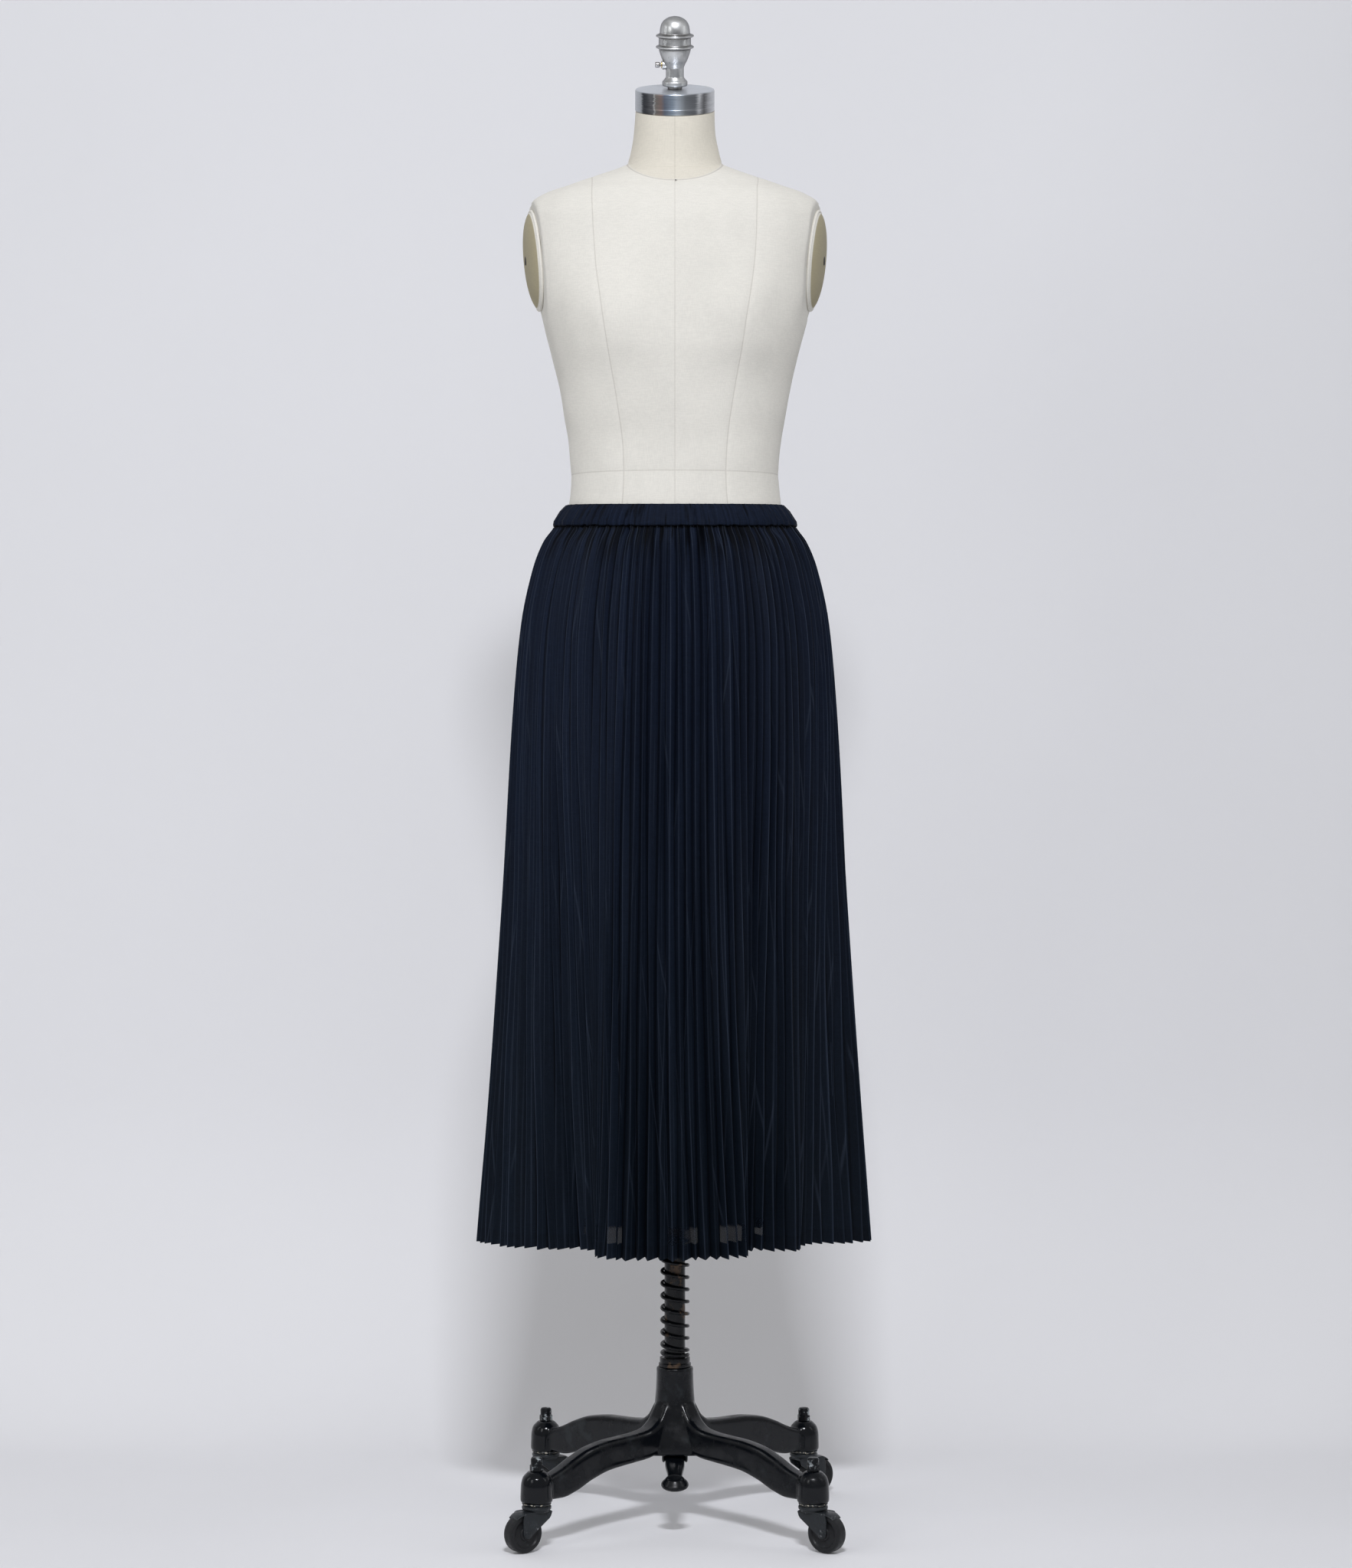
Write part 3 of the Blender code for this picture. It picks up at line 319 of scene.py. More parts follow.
class FormSettings(bpy.types.PropertyGroup):
    """Canvas and metal of the dress form."""

    canvas: bpy.props.FloatVectorProperty(
        name="Canvas", description="Colour of the form's cover", subtype="COLOR", size=3,
        min=0, max=1, default=(0.77, 0.748, 0.682),
    )
    neck: bpy.props.FloatVectorProperty(
        name="Neck canvas", description="Colour of the neck's cover", subtype="COLOR", size=3,
        min=0, max=1, default=(0.725, 0.685, 0.590),
    )
    steel: bpy.props.FloatVectorProperty(
        name="Cap steel", description="Colour of the turned neck cap", subtype="COLOR", size=3,
        min=0, max=1, default=(0.54, 0.57, 0.61),
    )
    aluminium: bpy.props.FloatVectorProperty(
        name="Cast aluminium", description="Colour of the finial", subtype="COLOR", size=3,
        min=0, max=1, default=(0.74, 0.75, 0.75),
    )


class StandSettings(bpy.types.PropertyGroup):
    """Iron, steel and rubber of the stand."""

    enamel: bpy.props.FloatVectorProperty(
        name="Enamel", description="Colour of the black enamel", subtype="COLOR", size=3,
        min=0, max=1, default=(0.0024, 0.0033, 0.0050),
    )
    dust: bpy.props.FloatVectorProperty(
        name="Dust", description="Colour of the dust and dulled patches", subtype="COLOR", size=3,
        min=0, max=1, default=(0.085, 0.105, 0.115),
    )
    rust: bpy.props.FloatVectorProperty(
        name="Rust", description="Colour where the black has worn through", subtype="COLOR", size=3,
        min=0, max=1, default=(0.115, 0.072, 0.043),
    )
    voxel: bpy.props.FloatProperty(
        name="Casting grain", description="Spacing of the casting's skin", unit="LENGTH",
        min=0.0008, max=0.004, default=0.0013,
    )


class StudioSettings(bpy.types.PropertyGroup):
    """Floor, light and backdrop."""

    backdrop: bpy.props.FloatVectorProperty(
        name="Backdrop", description="Colour behind the object", subtype="COLOR", size=3,
        min=0, max=1, default=(0.687, 0.694, 0.737),
    )
    floor: bpy.props.FloatVectorProperty(
        name="Floor", description="Colour of the floor", subtype="COLOR", size=3,
        min=0, max=1, default=(0.815, 0.815, 0.83),
    )
    key_power: bpy.props.FloatProperty(
        name="Key light", description="Power of the front light", unit="POWER", min=0, default=131.0,
    )
    ambient: bpy.props.FloatProperty(
        name="Ambient", description="Brightness of the room's own light", min=0, default=0.350,
    )
    wall: bpy.props.FloatProperty(
        name="Backdrop distance", description="How far the paper's wall stands behind the post",
        unit="LENGTH", min=0.4, max=3, default=0.80,
    )
    bend: bpy.props.FloatProperty(
        name="Backdrop bend", description="Radius of the paper between floor and wall",
        unit="LENGTH", min=0.05, max=1, default=0.40,
    )


# Shapes


def through(at, knots, values):
    """A curve through the knots that never overshoots them: cubics with harmonic-mean slopes."""
    order = np.argsort(knots)
    x, y = np.asarray(knots, float)[order], np.asarray(values, float)[order]
    step = np.diff(x)
    slope = np.diff(y) / step
    product = slope[1:] * slope[:-1]
    total = np.where(product > 0, slope[1:] + slope[:-1], 1.0)
    tangent = np.r_[slope[0], np.where(product > 0, 2 * product / total, 0.0), slope[-1]]
    at = np.clip(at, x[0], x[-1])
    i = np.clip(np.searchsorted(x, at, side="right") - 1, 0, len(step) - 1)
    t, h = (at - x[i]) / step[i], step[i]
    return (
        (2 * t**3 - 3 * t**2 + 1) * y[i]
        + (t**3 - 2 * t**2 + t) * h * tangent[i]
        + (3 * t**2 - 2 * t**3) * y[i + 1]
        + (t**3 - t**2) * h * tangent[i + 1]
    )


def along_profile(points, count):
    """count points along a smooth curve through a profile, evenly spaced by length."""
    points = np.asarray(points, float)
    run = np.r_[0, np.cumsum(np.linalg.norm(np.diff(points, axis=0), axis=1))]
    at = np.linspace(0, run[-1], count)
    return np.stack([through(at, run, column) for column in points.T], axis=1)


def unevenness(seed, *axes, waves=9):
    """Soft seeded unevenness, about -1 to 1: sine waves of random slopes over the axes, summed."""
    draws = np.random.default_rng(seed)
    total = 0.0
    for _ in range(waves):
        slopes = draws.uniform(-1, 1, len(axes))
        total = total + np.sin(TAU * (sum(s * a for s, a in zip(slopes, axes)) + draws.random()))
    return total / np.sqrt(waves)


def outline(angles, half_width, front, back, squareness=2.0):
    """Round a section: a superellipse from +X over the front to -X and the back."""
    across, ahead = np.cos(angles), np.sin(angles)
    power = 2.0 / squareness
    x = half_width * np.sign(across) * np.abs(across) ** power
    y = -np.where(ahead > 0, front, back) * np.sign(ahead) * np.abs(ahead) ** power
    return x, y


def outwards(patch):
    """Turns a closed patch's faces round if its signed volume says they face inwards."""
    points, volume = patch["points"], 0.0
    for faces in patch["faces"]:
        for k in range(1, faces.shape[1] - 1):
            a, b, c = points[faces[:, 0]], points[faces[:, k]], points[faces[:, k + 1]]
            volume += (a * np.cross(b, c)).sum()
    if volume < 0:
        patch["faces"] = [faces[:, ::-1] for faces in patch["faces"]]
        patch["uvs"] = [uv[:, ::-1] for uv in patch["uvs"]]
    return patch


def every_cell(rows, columns):
    """The row and the column of every cell of a grid, as two flat arrays."""
    return (a.ravel() for a in np.meshgrid(np.arange(rows), np.arange(columns), indexing="ij"))


def skin(points, around=True, lengthwise=False, u=None, v=None):
    """A closed skin over a grid of points (rows, columns, 3).

    around joins the last column to the first. lengthwise joins the last row to the first, as on
    a ring; otherwise each end row is closed by a fan round its middle.
    """
    rows, columns = points.shape[:2]
    last_row, last_column = rows - (not lengthwise), columns - (not around)
    u = np.linspace(0, 1, last_column + 1) if u is None else u
    v = np.linspace(0, 1, last_row + 1) if v is None else v
    row, column = every_cell(last_row, last_column)
    up, beside = (row + 1) % rows, (column + 1) % columns
    low, high = row * columns, up * columns
    quads = np.stack([low + column, low + beside, high + beside, high + column], 1)
    flat = np.stack([
        np.stack([u[column], u[column + 1], u[column + 1], u[column]], 1),
        np.stack([v[row], v[row], v[row + 1], v[row + 1]], 1),
    ], 2)
    corners, faces, uvs = points.reshape(-1, 3), [quads], [flat]
    if around and not lengthwise:
        ring, after = np.arange(columns), np.roll(np.arange(columns), -1)
        low, high = rows * columns, rows * columns + 1
        top = (rows - 1) * columns
        corners = np.vstack([corners, points[0].mean(0), points[-1].mean(0)])
        fans = np.vstack([
            np.stack([np.full(columns, low), after, ring], 1),
            np.stack([np.full(columns, high), top + ring, top + after], 1),
        ])
        faces.append(fans)
        uvs.append(np.zeros((len(fans), 3, 2)))
    return outwards({"points": corners, "faces": faces, "uvs": uvs})


def thin_shell(outer, inner, u, v, around=False):
    """Cloth with two sides: a grid, its mate one wall away, and a rim round the open edges."""
    rows, columns = outer.shape[:2]
    count = rows * columns
    last_column = columns - (not around)
    row, column = every_cell(rows - 1, last_column)
    beside = (column + 1) % columns
    low, high = row * columns, (row + 1) * columns
    quads = np.stack([low + column, low + beside, high + beside, high + column], 1)
    flat = np.stack([
        np.stack([u[column], u[column + 1], u[column + 1], u[column]], 1),
        np.stack([v[row], v[row], v[row + 1], v[row + 1]], 1),
    ], 2)
    faces, uvs = [quads, quads[:, ::-1] + count], [flat, flat[:, ::-1]]
    across, end = np.arange(last_column), (rows - 1) * columns
    after = (across + 1) % columns
    rims = [
        (across, after, u[across], u[across + 1], v[0], v[0]),
        (after + end, across + end, u[across + 1], u[across], v[-1], v[-1]),
    ]
    if not around:
        up = np.arange(rows - 1)
        right = columns - 1
        rims.append(((up + 1) * columns, up * columns, u[0], u[0], v[up + 1], v[up]))
        rims.append((up * columns + right, (up + 1) * columns + right, u[-1], u[-1], v[up], v[up + 1]))
    for a, b, ua, ub, va, vb in rims:
        faces.append(np.stack([b, a, a + count, b + count], 1))
        one = np.ones(len(a))
        uvs.append(np.stack([
            np.stack([ub * one, ua * one, ua * one, ub * one], 1),
            np.stack([vb * one, va * one, va * one, vb * one], 1),
        ], 2))
    points = np.vstack([outer.reshape(-1, 3), inner.reshape(-1, 3)])
    return outwards({"points": points, "faces": faces, "uvs": uvs})


def moved(patch, place):
    """The patch with its points put through a function of the whole array."""
    return outwards({**patch, "points": place(patch["points"])})


def lathe(profile, sides, ring=False, v=None):
    """A profile of (radius, height) carried round Z. A ring's profile is closed."""
    angles = np.arange(sides) * TAU / sides
    profile = np.asarray(profile, float)
    r, z = profile[:, :1], profile[:, 1:]
    return skin(np.stack([r * np.cos(angles), r * np.sin(angles), z + 0 * angles], 2), lengthwise=ring, v=v)


def rounded(profile, radius, steps=4, closed=False):
    """A polyline with each corner replaced by a short quadratic arc that starts radius away."""
    points = np.asarray(profile, float)
    before, after = np.roll(points, 1, 0), np.roll(points, -1, 0)
    reach_in = np.linalg.norm(before - points, axis=1)
    reach_out = np.linalg.norm(after - points, axis=1)
    start = points + (before - points) * np.minimum(radius / reach_in, 0.45)[:, None]
    end = points + (after - points) * np.minimum(radius / reach_out, 0.45)[:, None]
    t = np.linspace(0, 1, steps + 1)[:, None, None]
    arcs = ((1 - t) ** 2 * start + 2 * t * (1 - t) * points + t**2 * end).transpose(1, 0, 2)
    if closed:
        return arcs.reshape(-1, points.shape[1])
    return np.vstack([points[:1], arcs[1:-1].reshape(-1, points.shape[1]), points[-1:]])


def tube(path, radius, sides, reference, closed=False):
    """A round wire: a circle carried along a path, turned by the tangent and a reference line."""
    path = np.asarray(path, float)
    if closed:
        tangent = np.roll(path, -1, 0) - np.roll(path, 1, 0)
    else:
        tangent = np.gradient(path, axis=0)
    side = np.cross(tangent, reference)
    side /= np.linalg.norm(side, axis=1)[:, None]
    lift = np.cross(side, tangent)
    lift /= np.linalg.norm(lift, axis=1)[:, None]
    angles = np.arange(sides) * TAU / sides
    radius = np.broadcast_to(radius, len(path))[:, None, None]
    grid = path[:, None] + radius * (
        np.cos(angles)[None, :, None] * side[:, None] + np.sin(angles)[None, :, None] * lift[:, None]
    )
    return skin(grid, lengthwise=closed)


def slab(outline_points, low, high, edge, place):
    """A plate: a flat outline carried from low to high, its rims drawn in by edge on both faces."""
    flat = np.asarray(outline_points, float)
    middle = flat.mean(0)
    size = np.linalg.norm(flat - middle, axis=1).mean()
    levels = ((low, 1 - 2.2 * edge / size), (low + 0.3 * edge, 1 - 0.7 * edge / size), (low + edge, 1.0),
              (high - edge, 1.0), (high - 0.3 * edge, 1 - 0.7 * edge / size), (high, 1 - 2.2 * edge / size))
    rings = [np.c_[middle + (flat - middle) * share, np.full(len(flat), level)] for level, share in levels]
    return moved(skin(np.stack(rings)), place)


def turned_about(points, axis, angle):
    """The points turned about X (0), Y (1) or Z (2) by an angle."""
    a, b = (axis + 1) % 3, (axis + 2) % 3
    made = np.array(points, float)
    made[:, a] = points[:, a] * np.cos(angle) - points[:, b] * np.sin(angle)
    made[:, b] = points[:, a] * np.sin(angle) + points[:, b] * np.cos(angle)
    return made


def new_mesh(name, patches):
    """One mesh from patches, written as whole arrays, with a UV map."""
    shifts = np.cumsum([0] + [len(p["points"]) for p in patches])
    points = np.concatenate([p["points"] for p in patches])
    loops = np.concatenate([(f + s).ravel() for s, p in zip(shifts, patches) for f in p["faces"]])
    sizes = np.concatenate([np.full(len(f), f.shape[1]) for p in patches for f in p["faces"]])
    uvs = np.concatenate([uv.reshape(-1, 2) for p in patches for uv in p["uvs"]])
    mesh = bpy.data.meshes.new(name)
    mesh.vertices.add(len(points))
    mesh.vertices.foreach_set("co", points.astype(np.float32).ravel())
    mesh.loops.add(len(loops))
    mesh.loops.foreach_set("vertex_index", loops.astype(np.int32))
    mesh.polygons.add(len(sizes))
    mesh.polygons.foreach_set("loop_start", np.r_[0, np.cumsum(sizes)[:-1]].astype(np.int32))
    mesh.uv_layers.new(name="cut").data.foreach_set("uv", uvs.astype(np.float32).ravel())
    mesh.update(calc_edges=True)
    return mesh


def finish_piece(mesh, finish, body, nodes, sharp=40.0):
    """Makes the object, gives it its finish, hangs it on the body that carries it, and hides the imported
    parts it stands in for.
    """
    made = bpy.data.objects.new(mesh.name, mesh)
    bpy.context.scene.collection.objects.link(made)
    mesh.materials.clear()
    mesh.materials.append(finish)
    mesh.shade_smooth()
    if sharp:
        mesh.set_sharp_from_angle(angle=np.radians(sharp))
    if body:
        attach(made, body)
    if nodes:
        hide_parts(*nodes)
    return made


def cast(name, patches, grain, rounds, hollow=None):
    """One casting from overlapping patches: a voxel skin, softened so its corners fill."""
    rough = bpy.data.objects.new(name, new_mesh(name, patches))
    bpy.context.scene.collection.objects.link(rough)
    remesh = rough.modifiers.new("skin", "REMESH")
    remesh.mode, remesh.voxel_size = "VOXEL", grain
    soften = rough.modifiers.new("soften", "SMOOTH")
    soften.factor, soften.iterations = 0.5, rounds
    drill = None
    if hollow is not None:
        drill = bpy.data.objects.new("drill", new_mesh("drill", [hollow]))
        bpy.context.scene.collection.objects.link(drill)
        cut = rough.modifiers.new("bore", "BOOLEAN")
        cut.operation, cut.object, cut.solver = "DIFFERENCE", drill, "EXACT"
    graph = bpy.context.evaluated_depsgraph_get()
    mesh = bpy.data.meshes.new_from_object(rough.evaluated_get(graph))
    mesh.name = name
    for spent in filter(None, (rough, drill)):
        bpy.data.objects.remove(spent)
    return mesh


# Finishes


def add(tree, kind, inputs=None, **settings):
    """A node with its settings, its inputs given as values or as other nodes' outputs."""
    made = tree.nodes.new(kind)
    for name, value in settings.items():
        setattr(made, name, value)
    for name, value in (inputs or {}).items():
        socket = made.inputs[name]
        if isinstance(value, bpy.types.NodeSocket):
            tree.links.new(value, socket)
        else:
            socket.default_value = value
    return made


def maths(tree, operation, *values, clamp=False):
    """The result of one Math node."""
    inputs = dict(enumerate(values))
    return add(tree, "ShaderNodeMath", inputs, operation=operation, use_clamp=clamp).outputs[0]


def times(tree, first, *others):
    """The product of all the values."""
    for value in others:
        first = maths(tree, "MULTIPLY", first, value)
    return first


def away_from(tree, value, middle):
    """How far a value is from its middle."""
    return maths(tree, "ABSOLUTE", maths(tree, "SUBTRACT", value, middle))


def part(tree, vector, axis):
    """One coordinate of a vector: 0 for X, 1 for Y, 2 for Z."""
    return add(tree, "ShaderNodeSeparateXYZ", {0: vector}).outputs[axis]


def span(tree, value, low, high, to_low=0.0, to_high=1.0):
    """The value eased from low..high to to_low..to_high."""
    return add(
        tree, "ShaderNodeMapRange",
        {"Value": value, "From Min": low, "From Max": high, "To Min": to_low, "To Max": to_high},
        interpolation_type="SMOOTHSTEP",
    ).outputs["Result"]


def tone(tree, share, first, second):
    """A colour between two colours."""
    made = add(tree, "ShaderNodeMix", data_type="RGBA", clamp_factor=True)
    for socket, value in ((made.inputs[0], share), (made.inputs[6], first), (made.inputs[7], second)):
        if isinstance(value, bpy.types.NodeSocket):
            tree.links.new(value, socket)
        else:
            socket.default_value = value if np.isscalar(value) else (*value[:3], 1.0)
    return made.outputs[2]


def stretch(tree, vector, scale=(1, 1, 1), place=(0, 0, 0)):
    """A vector scaled along its axes, then moved."""
    return add(tree, "ShaderNodeMapping", {"Vector": vector, "Scale": scale, "Location": place}).outputs[0]


def grain(tree, vector, scale, detail=3.0, roughness=0.55):
    """Noise from 0 to 1 over a vector."""
    return add(
        tree, "ShaderNodeTexNoise",
        {"Vector": vector, "Scale": scale, "Detail": detail, "Roughness": roughness},
    ).outputs["Fac"]


def group(name, inputs, outputs, build):
    """A shader node group, made once. build gets the tree, its input sockets and its output node."""
    found = bpy.data.node_groups.get(name)
    if found:
        return found
    tree = bpy.data.node_groups.new(name, "ShaderNodeTree")
    for label, kind in inputs:
        tree.interface.new_socket(label, in_out="INPUT", socket_type=kind)
    for label, kind in outputs:
        tree.interface.new_socket(label, in_out="OUTPUT", socket_type=kind)
    source, sink = tree.nodes.new("NodeGroupInput"), tree.nodes.new("NodeGroupOutput")
    for label, value in build(tree, source.outputs).items():
        tree.links.new(value, sink.inputs[label])
    return tree


def placed(tree, shared, inputs):
    """A shared group, put in a material with its own values."""
    made = tree.nodes.new("ShaderNodeGroup")
    made.node_tree = shared
    for name, value in inputs.items():
        if isinstance(value, bpy.types.NodeSocket):
            tree.links.new(value, made.inputs[name])
        else:
            made.inputs[name].default_value = value
    return made.outputs


def woven():
    """Threads both ways, uneven along their length: a height and a shade."""

    def build(tree, given):
        warp = grain(tree, stretch(tree, given["Vector"], (1.0, 1.0, 0.12)), given["Threads"], 2.0)
        weft = grain(tree, stretch(tree, given["Vector"], (0.12, 0.12, 1.0)), given["Threads"], 2.0)
        height = maths(tree, "MULTIPLY_ADD", warp, 0.5, maths(tree, "MULTIPLY", weft, 0.5))
        return {"Height": height, "Shade": span(tree, height, 0.3, 0.7, 0.82, 1.12)}

    return group(
        "woven_threads", (("Vector", "NodeSocketVector"), ("Threads", "NodeSocketFloat")),
        (("Height", "NodeSocketFloat"), ("Shade", "NodeSocketFloat")), build,
    )


def worn():
    """Blotches of wear: a mask that grows with Amount, with broken edges."""

    def build(tree, given):
        broad = grain(tree, given["Vector"], given["Scale"], 6.0, 0.62)
        limit = maths(tree, "SUBTRACT", 0.78, maths(tree, "MULTIPLY", given["Amount"], 0.45))
        edge = maths(tree, "ADD", limit, 0.09)
        return {"Mask": span(tree, broad, limit, edge), "Soft": span(tree, broad, 0.3, 0.75)}

    return group(
        "worn_blotches",
        (("Vector", "NodeSocketVector"), ("Scale", "NodeSocketFloat"), ("Amount", "NodeSocketFloat")),
        (("Mask", "NodeSocketFloat"), ("Soft", "NodeSocketFloat")), build,
    )


def new_finish(name):
    """An empty material: its tree, its Principled shader and its Object coordinates."""
    made = bpy.data.materials.new(name)
    made.use_nodes = True
    tree = made.node_tree
    return made, tree, tree.nodes["Principled BSDF"], add(tree, "ShaderNodeTexCoord").outputs


def dress(tree, shader, sockets):
    """Sets or links the shader's sockets."""
    for name, value in sockets.items():
        if isinstance(value, bpy.types.NodeSocket):
            tree.links.new(value, shader.inputs[name])
        else:
            shader.inputs[name].default_value = value


def bump(tree, height, strength, distance):
    """A normal tilted by a height in the material."""
    inputs = {"Height": height, "Strength": strength, "Distance": distance}
    return add(tree, "ShaderNodeBump", inputs).outputs[0]


def scaled(tree, colour, share):
    """A colour made darker or lighter by a varying share."""
    made = add(tree, "ShaderNodeVectorMath", operation="SCALE")
    for socket, value in ((made.inputs[0], colour), (made.inputs["Scale"], share)):
        if isinstance(value, bpy.types.NodeSocket):
            tree.links.new(value, socket)
        else:
            socket.default_value = value if np.isscalar(value) else tuple(value)[:3]
    return made.outputs[0]


def pleated_cloth():
    """Navy cloth: weave, pale crease lines that are partly pressed shine and partly painted highlight,
    painted shade in its folds, a sheer band.

    The UV map runs in pleats round the skirt and in metres up from the hem, so a crest lies at
    the pleat's skew in every pleat.
    """
    settings = bpy.context.scene.skirt_cloth
    made, tree, shader, coords = new_finish("navy_pleated_cloth")
    pleat, rise = part(tree, coords["UV"], 0), part(tree, coords["UV"], 1)
    phase = maths(tree, "FRACT", pleat)
    number = maths(tree, "FLOOR", pleat)
    own = add(tree, "ShaderNodeTexWhiteNoise", {"W": number}, noise_dimensions="1D").outputs["Value"]
    slow = grain(tree, stretch(tree, coords["UV"], (0.55, 9.0, 1)), 1.0, 3.0)
    streak = grain(tree, stretch(tree, coords["UV"], (4.0, 3.2, 1)), 1.0, 3.0, 0.6)

    # pale lines, partly the pressed cloth's own shine and partly painted highlight where the creases catch
    # the light: the pressed crests, a second crease on each long flank, and slanting strays
    crest = span(tree, away_from(tree, phase, PLEAT_SKEW), 0.012, 0.075, 1.0, 0.0)
    broken = span(tree, maths(tree, "MULTIPLY_ADD", own, 0.30, streak), 0.48, 0.78, 0.22, 1.0)
    flank = span(tree, away_from(tree, phase, 0.27), 0.010, 0.060, 1.0, 0.0)
    second = times(tree, flank, span(tree, streak, 0.40, 0.62))
    light = maths(tree, "MULTIPLY_ADD", second, 0.55, times(tree, crest, broken))
    bend = grain(tree, stretch(tree, coords["UV"], (0.30, 2.0, 1)), 1.0, 0.0)
    for slant, drift, place in STRAY_CREASES:
        run = maths(tree, "MULTIPLY_ADD", bend, 0.9, maths(tree, "MULTIPLY", rise, drift))
        at = maths(tree, "FRACT", maths(tree, "MULTIPLY_ADD", pleat, slant, run))
        stray = span(tree, away_from(tree, at, 0.5), 0.006, 0.030, 1.0, 0.0)
        patch = grain(tree, stretch(tree, coords["UV"], (0.8, 2.2, 1), place), 1.0, 1.0)
        stray = times(tree, stray, span(tree, patch, 0.50, 0.62))
        light = maths(tree, "MULTIPLY_ADD", stray, 0.55, light, clamp=True)

    # shade: weave, slow blotches and each pleat's own tone; painted shade in the troughs, on the lee flanks
    # and in the gathers' folds below the band; a darker turn-up below the hem's fold line; a painted shadow
    # under the seam
    threads = placed(tree, woven(), {"Vector": coords["Object"], "Threads": 900.0})
    blotches = maths(tree, "MULTIPLY_ADD", slow, 0.5, 0.74)
    pleat_tone = maths(tree, "MULTIPLY_ADD", own, 0.30, 0.85)
    trough = span(tree, away_from(tree, phase, 0.5), 0.36, 0.5, 1.0, 0.50)
    lee = span(tree, phase, PLEAT_SKEW + 0.03, PLEAT_SKEW + 0.10, 1.0, 0.80)
    top = span(tree, rise, 0.735, 0.784)
    shade_slits = grain(tree, stretch(tree, coords["UV"], (1.5, 11.0, 1), (3, 5, 0)), 1.0, 2.0)
    shade_slits = span(tree, shade_slits, 0.47, 0.57)
    gathers = maths(tree, "SUBTRACT", 1.0, times(tree, top, shade_slits, 0.76))
    hem = span(tree, rise, HEM_TURN_UP - 0.0006, HEM_TURN_UP + 0.0006, 0.86, 1.0)
    seam = span(tree, maths(tree, "MULTIPLY_ADD", streak, 0.004, rise), 0.7905, 0.7922, 1.0, 0.12)
    shade = times(tree, threads["Shade"], blotches, pleat_tone, trough, lee, gathers, hem, seam)
    navy = tone(tree, span(tree, rise, 0.02, 0.72), tuple(settings.navy_low), tuple(settings.navy))
    navy = scaled(tree, navy, shade)
    colour = tone(tree, maths(tree, "MULTIPLY", light, 0.52), navy, tuple(settings.crease))

    # some pleats are sheer in a band above the turned-up hem
    above = span(tree, rise, HEM_TURN_UP + 0.0002, HEM_TURN_UP + 0.0014)
    below = span(tree, rise, 0.031, 0.041, 1.0, 0.0)
    aside = maths(tree, "ABSOLUTE", part(tree, coords["Object"], 0))
    middle_part = span(tree, aside, 0.092, 0.106, 1.0, 0.0)
    clear = times(tree, above, below, times(tree, span(tree, own, 0.42, 0.58), middle_part))
    clear = times(tree, span(tree, clear, 0.25, 1.0), settings.sheer)
    fine = maths(tree, "MULTIPLY_ADD", light, 0.6, threads["Height"])
    dress(tree, shader, {
        "Base Color": colour, "Roughness": span(tree, slow, 0.3, 0.7, 0.62, 0.74),
        "Alpha": maths(tree, "SUBTRACT", 1.0, clear), "IOR": 1.2, "Specular IOR Level": 0.3,
        "Normal": bump(tree, fine, 0.25, 0.0004),
    })
    return made


def casing_cloth():
    """The same navy cloth on the waistband, with painted shade between its puckers, painted light and shade
    across close fine creases, and a painted shadow along its bottom seam.
    """
    settings = bpy.context.scene.skirt_cloth
    made, tree, shader, coords = new_finish("navy_casing_cloth")
    threads = placed(tree, woven(), {"Vector": coords["Object"], "Threads": 900.0})
    creases = grain(tree, stretch(tree, coords["UV"], (320.0, 3.0, 1)), 1.0, 3.0)
    shade_slits = grain(tree, stretch(tree, coords["UV"], (150.0, 22.0, 1), (4, 9, 0)), 1.0, 2.0)
    slow = grain(tree, coords["Object"], 22.0, 3.0)
    rise = part(tree, coords["UV"], 1)
    ragged = maths(tree, "MULTIPLY_ADD", creases, 0.003, rise)
    # painted light and shade: the fine creases lighten and darken the cloth, the slits are painted shade
    # between the puckers, and the bottom edge holds a painted shadow along the seam; weave and slow blotches
    # are the cloth's own
    shade = times(
        tree, threads["Shade"], span(tree, creases, 0.3, 0.75, 0.66, 1.34),
        span(tree, shade_slits, 0.55, 0.68, 1.0, 0.42), maths(tree, "MULTIPLY_ADD", slow, 0.4, 0.82),
        span(tree, ragged, 0.0026, 0.0046, 0.14, 1.0),
    )
    height = maths(tree, "MULTIPLY_ADD", creases, 2.0, threads["Height"])
    dress(tree, shader, {
        "Base Color": scaled(tree, tuple(settings.navy), shade),
        "Roughness": span(tree, slow, 0.3, 0.7, 0.64, 0.78), "IOR": 1.2, "Specular IOR Level": 0.3,
        "Normal": bump(tree, height, 0.25, 0.0005),
    })
    return made


